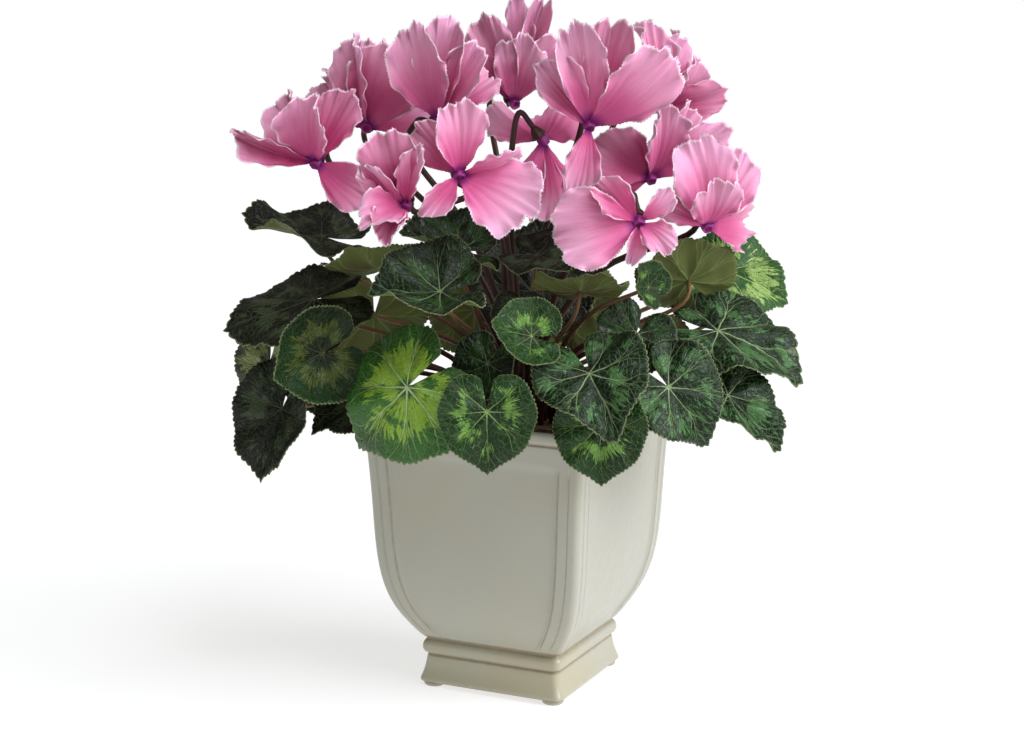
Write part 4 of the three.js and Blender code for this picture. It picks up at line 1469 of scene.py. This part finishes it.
    def turned(self, base: np.ndarray, axis: np.ndarray, profile: Sequence[Pair], lobes: float,
               skin: Material) -> Object:
        """Makes a small five-lobed piece that is turned about an axis.

        Args:
            base: Where its profile's zero height is.
            axis: The axis.
            profile: Radius and height of each point of its profile.
            lobes: How deep the lobes are, as a share of the radius.
            skin: Its finish.

        Returns:
            The piece.
        """
        axes = frame_of(axis, ACROSS + 0.2 * UP)
        angle = self.round_blank.across * FULL_TURN
        reach, height = on_profile(profile, self.round_blank.along)
        reach = reach * (1.0 + lobes * np.cos(5.0 * angle))
        local = np.column_stack([height, reach * np.cos(angle), reach * np.sin(angle)])
        piece = self.round_blank.merged("turned", base + local @ axes, closed=True)
        dress(piece, skin)
        return piece

    def axis(self, plan: BloomPlan) -> np.ndarray:
        """Gives the way from a bloom's mouth back to its calyx."""
        return unit(to_pot(plan.stalk) if plan.stalk else UP * 0.7 - unit(to_pot(plan.show)) * 0.7)

    def corolla(self, number: int, plan: BloomPlan) -> Object:
        """Makes a bloom's petals and mouth in one piece.

        Args:
            number: The bloom's number.
            plan: The bloom's plan.

        Returns:
            The piece.
        """
        draw, own = Draw(number + 100), Draw(number + 500)
        petals = [self.petal(plan, petal, draw, own) for petal in plan.petals]
        base, axis = to_pot(plan.mouth), self.axis(plan)
        mouth = self.turned(base, axis, self.mouth, self.mouth_lobes, self.throat_skin)
        return join(f"corolla_of_{plan.name}", *petals, mouth)

    def scape(self, plan: BloomPlan, seat: np.ndarray) -> Object:
        """Makes the hooked stalk with its calyx.

        Args:
            plan: The bloom's plan.
            seat: The stalk's seat on the tuber.

        Returns:
            The piece.
        """
        axis = self.axis(plan)
        mouth = to_pot(plan.mouth)
        calyx = mouth + axis * (self.mouth_depth + self.cup_gap + self.calyx_length - self.stalk_sink)
        level = to_pot(plan.hook) if plan.hook else np.array([axis[0], axis[1], 0.0])
        top = calyx + axis * self.hook_height + level * self.hook_out
        neck = top + level * self.neck_out - UP * self.neck_drop
        rise = seat + UP * self.crown_rise
        middle = rise + (neck - rise) * self.middle_share + UP * self.middle_lift
        if plan.via:
            middle = to_pot(plan.via)
        points = through([seat - UP, rise, middle, neck, top, calyx], self.scape_steps)
        foot, loss = self.scape_taper
        radii = self.scape_radius * (foot - loss * np.linspace(0.0, 1.0, self.scape_steps))
        stalk = self.scape_blank.tube("stalk", points, radii)
        dress(stalk, self.scape_skin)
        base = mouth + axis * (self.mouth_depth - self.cup_sink)
        cup = self.turned(base, axis, self.calyx, self.calyx_lobes, self.scape_skin)
        return join(f"scape_of_{plan.name}", stalk, cup)

    def build(self) -> None:
        """Builds every bloom and sets it in the part."""
        seats = seats_for([to_pot(plan.mouth) for plan in BLOOMS], SCAPE_RINGS)
        for number, (plan, seat) in enumerate(zip(BLOOMS, seats), start=1):
            settle(self.corolla(number, plan), "petal", f"corolla_{plan.name}")
            settle(self.scape(plan, seat), "scape", f"scape_{plan.name}")


# Studio.


@dataclass
class Studio:
    """Pale floor, soft lights and the camera at the photograph's angle.

    Each softbox has its name, its place across, toward and up in metres, the length of its sides,
    its power in watts and its colour.
    """

    target: Triple = (-5.85, -2.78, 214.8)
    back: Triple = (0.42168, -0.88685, 0.18893)
    distance: float = 1436.0
    lens: float = 72.8
    far: float = 200.0
    sun_from: Triple = (0.62, 0.3, 0.72)
    sun_power: float = 2.4
    sun_width: float = 60.0
    sun_color: Triple = (0.965, 1.0, 1.12)
    softboxes: tuple[tuple[str, Triple, float, float, Triple], ...] = (
        ("window", (1.3, 0.5, 0.8), 0.8, 10.0, (1.0, 1.0, 1.0)),
        ("skylight", (0.1, 0.7, 1.2), 0.3, 2.6, (0.9, 1.0, 0.94)))
    softbox_aim: Triple = (0.0, 0.0, 0.22)
    room: float = 0.21
    room_color: Triple = (1.0, 0.97, 0.8)
    floor_size: float = 28.0
    wall_height: float = 1.3
    floor_glow: float = 0.68
    floor_tone: float = 0.42

    def put(self, name: str, data: bpy.types.ID, at: Vector, look: Vector) -> Object:
        """Puts a light or the camera in its place.

        Args:
            name: Its name.
            data: The light or the camera.
            at: Its place in metres.
            look: The way that it looks.

        Returns:
            Its object.
        """
        made = bpy.data.objects.new(name, data)
        bpy.context.collection.objects.link(made)
        made.location = at
        made.rotation_euler = look.to_track_quat("-Z", "Y").to_euler()
        return made

    def camera(self) -> None:
        """Sets up the camera."""
        data = bpy.data.cameras.new("camera")
        data.lens = self.lens
        data.clip_end = self.far
        back = Vector(self.back).normalized()
        at = (Vector(self.target) + back * self.distance) * MM
        bpy.context.scene.camera = self.put("camera", data, at, -back)

    def lights(self) -> None:
        """Sets up the broad soft daylight from the right and the softboxes that look at the plant."""
        sun = bpy.data.lights.new("daylight", "SUN")
        sun.energy = self.sun_power
        sun.angle = math.radians(self.sun_width)
        sun.color = self.sun_color
        self.put("daylight", sun, Vector(), Vector(-to_pot(self.sun_from)))
        for name, view, size, power, color in self.softboxes:
            data = bpy.data.lights.new(name, "AREA")
            data.size = size
            data.energy = power
            data.color = color
            at = Vector(to_pot(view))
            self.put(name, data, at, Vector(self.softbox_aim) - at)

    def floor(self) -> None:
        """Lays the pale floor, with low walls of the same tone far round it."""
        take_up()
        bpy.ops.mesh.primitive_plane_add(size=self.floor_size, location=(0.0, 0.0, 0.0))
        floor = bpy.context.active_object
        floor.name = "pale_floor"
        rise = {"value": (0.0, 0.0, self.wall_height)}
        edit_whole(floor, partial(bpy.ops.mesh.extrude_region_move, TRANSFORM_OT_translate=rise),
                   partial(bpy.ops.mesh.delete, type="ONLY_FACE"))
        tone = (self.floor_tone, self.floor_tone, self.floor_tone, 1.0)
        dress(floor, Sheet("pale_floor").surface(tone, 0.9, Emission_Strength=self.floor_glow,
                                                 Emission_Color=(1.0, 1.0, 1.0, 1.0)))

    def build(self) -> None:
        """Sets up everything round the plant."""
        self.camera()
        self.floor()
        self.lights()
        world = bpy.data.worlds.new("pale_room")
        world.use_nodes = True
        background = world.node_tree.nodes["Background"]
        background.inputs["Color"].default_value = (*self.room_color, 1.0)
        background.inputs["Strength"].default_value = self.room
        bpy.context.scene.world = world
        bpy.context.scene.view_settings.view_transform = "Standard"


def main() -> None:
    """Builds every piece in order, noting how many points each has."""
    logging.basicConfig(level=logging.INFO, format="%(message)s")
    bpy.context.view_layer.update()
    Studio().build()
    Pot().build()
    Ground().build()
    Leaves().build()
    Blooms().build()


if __name__ == "__main__":
    main()
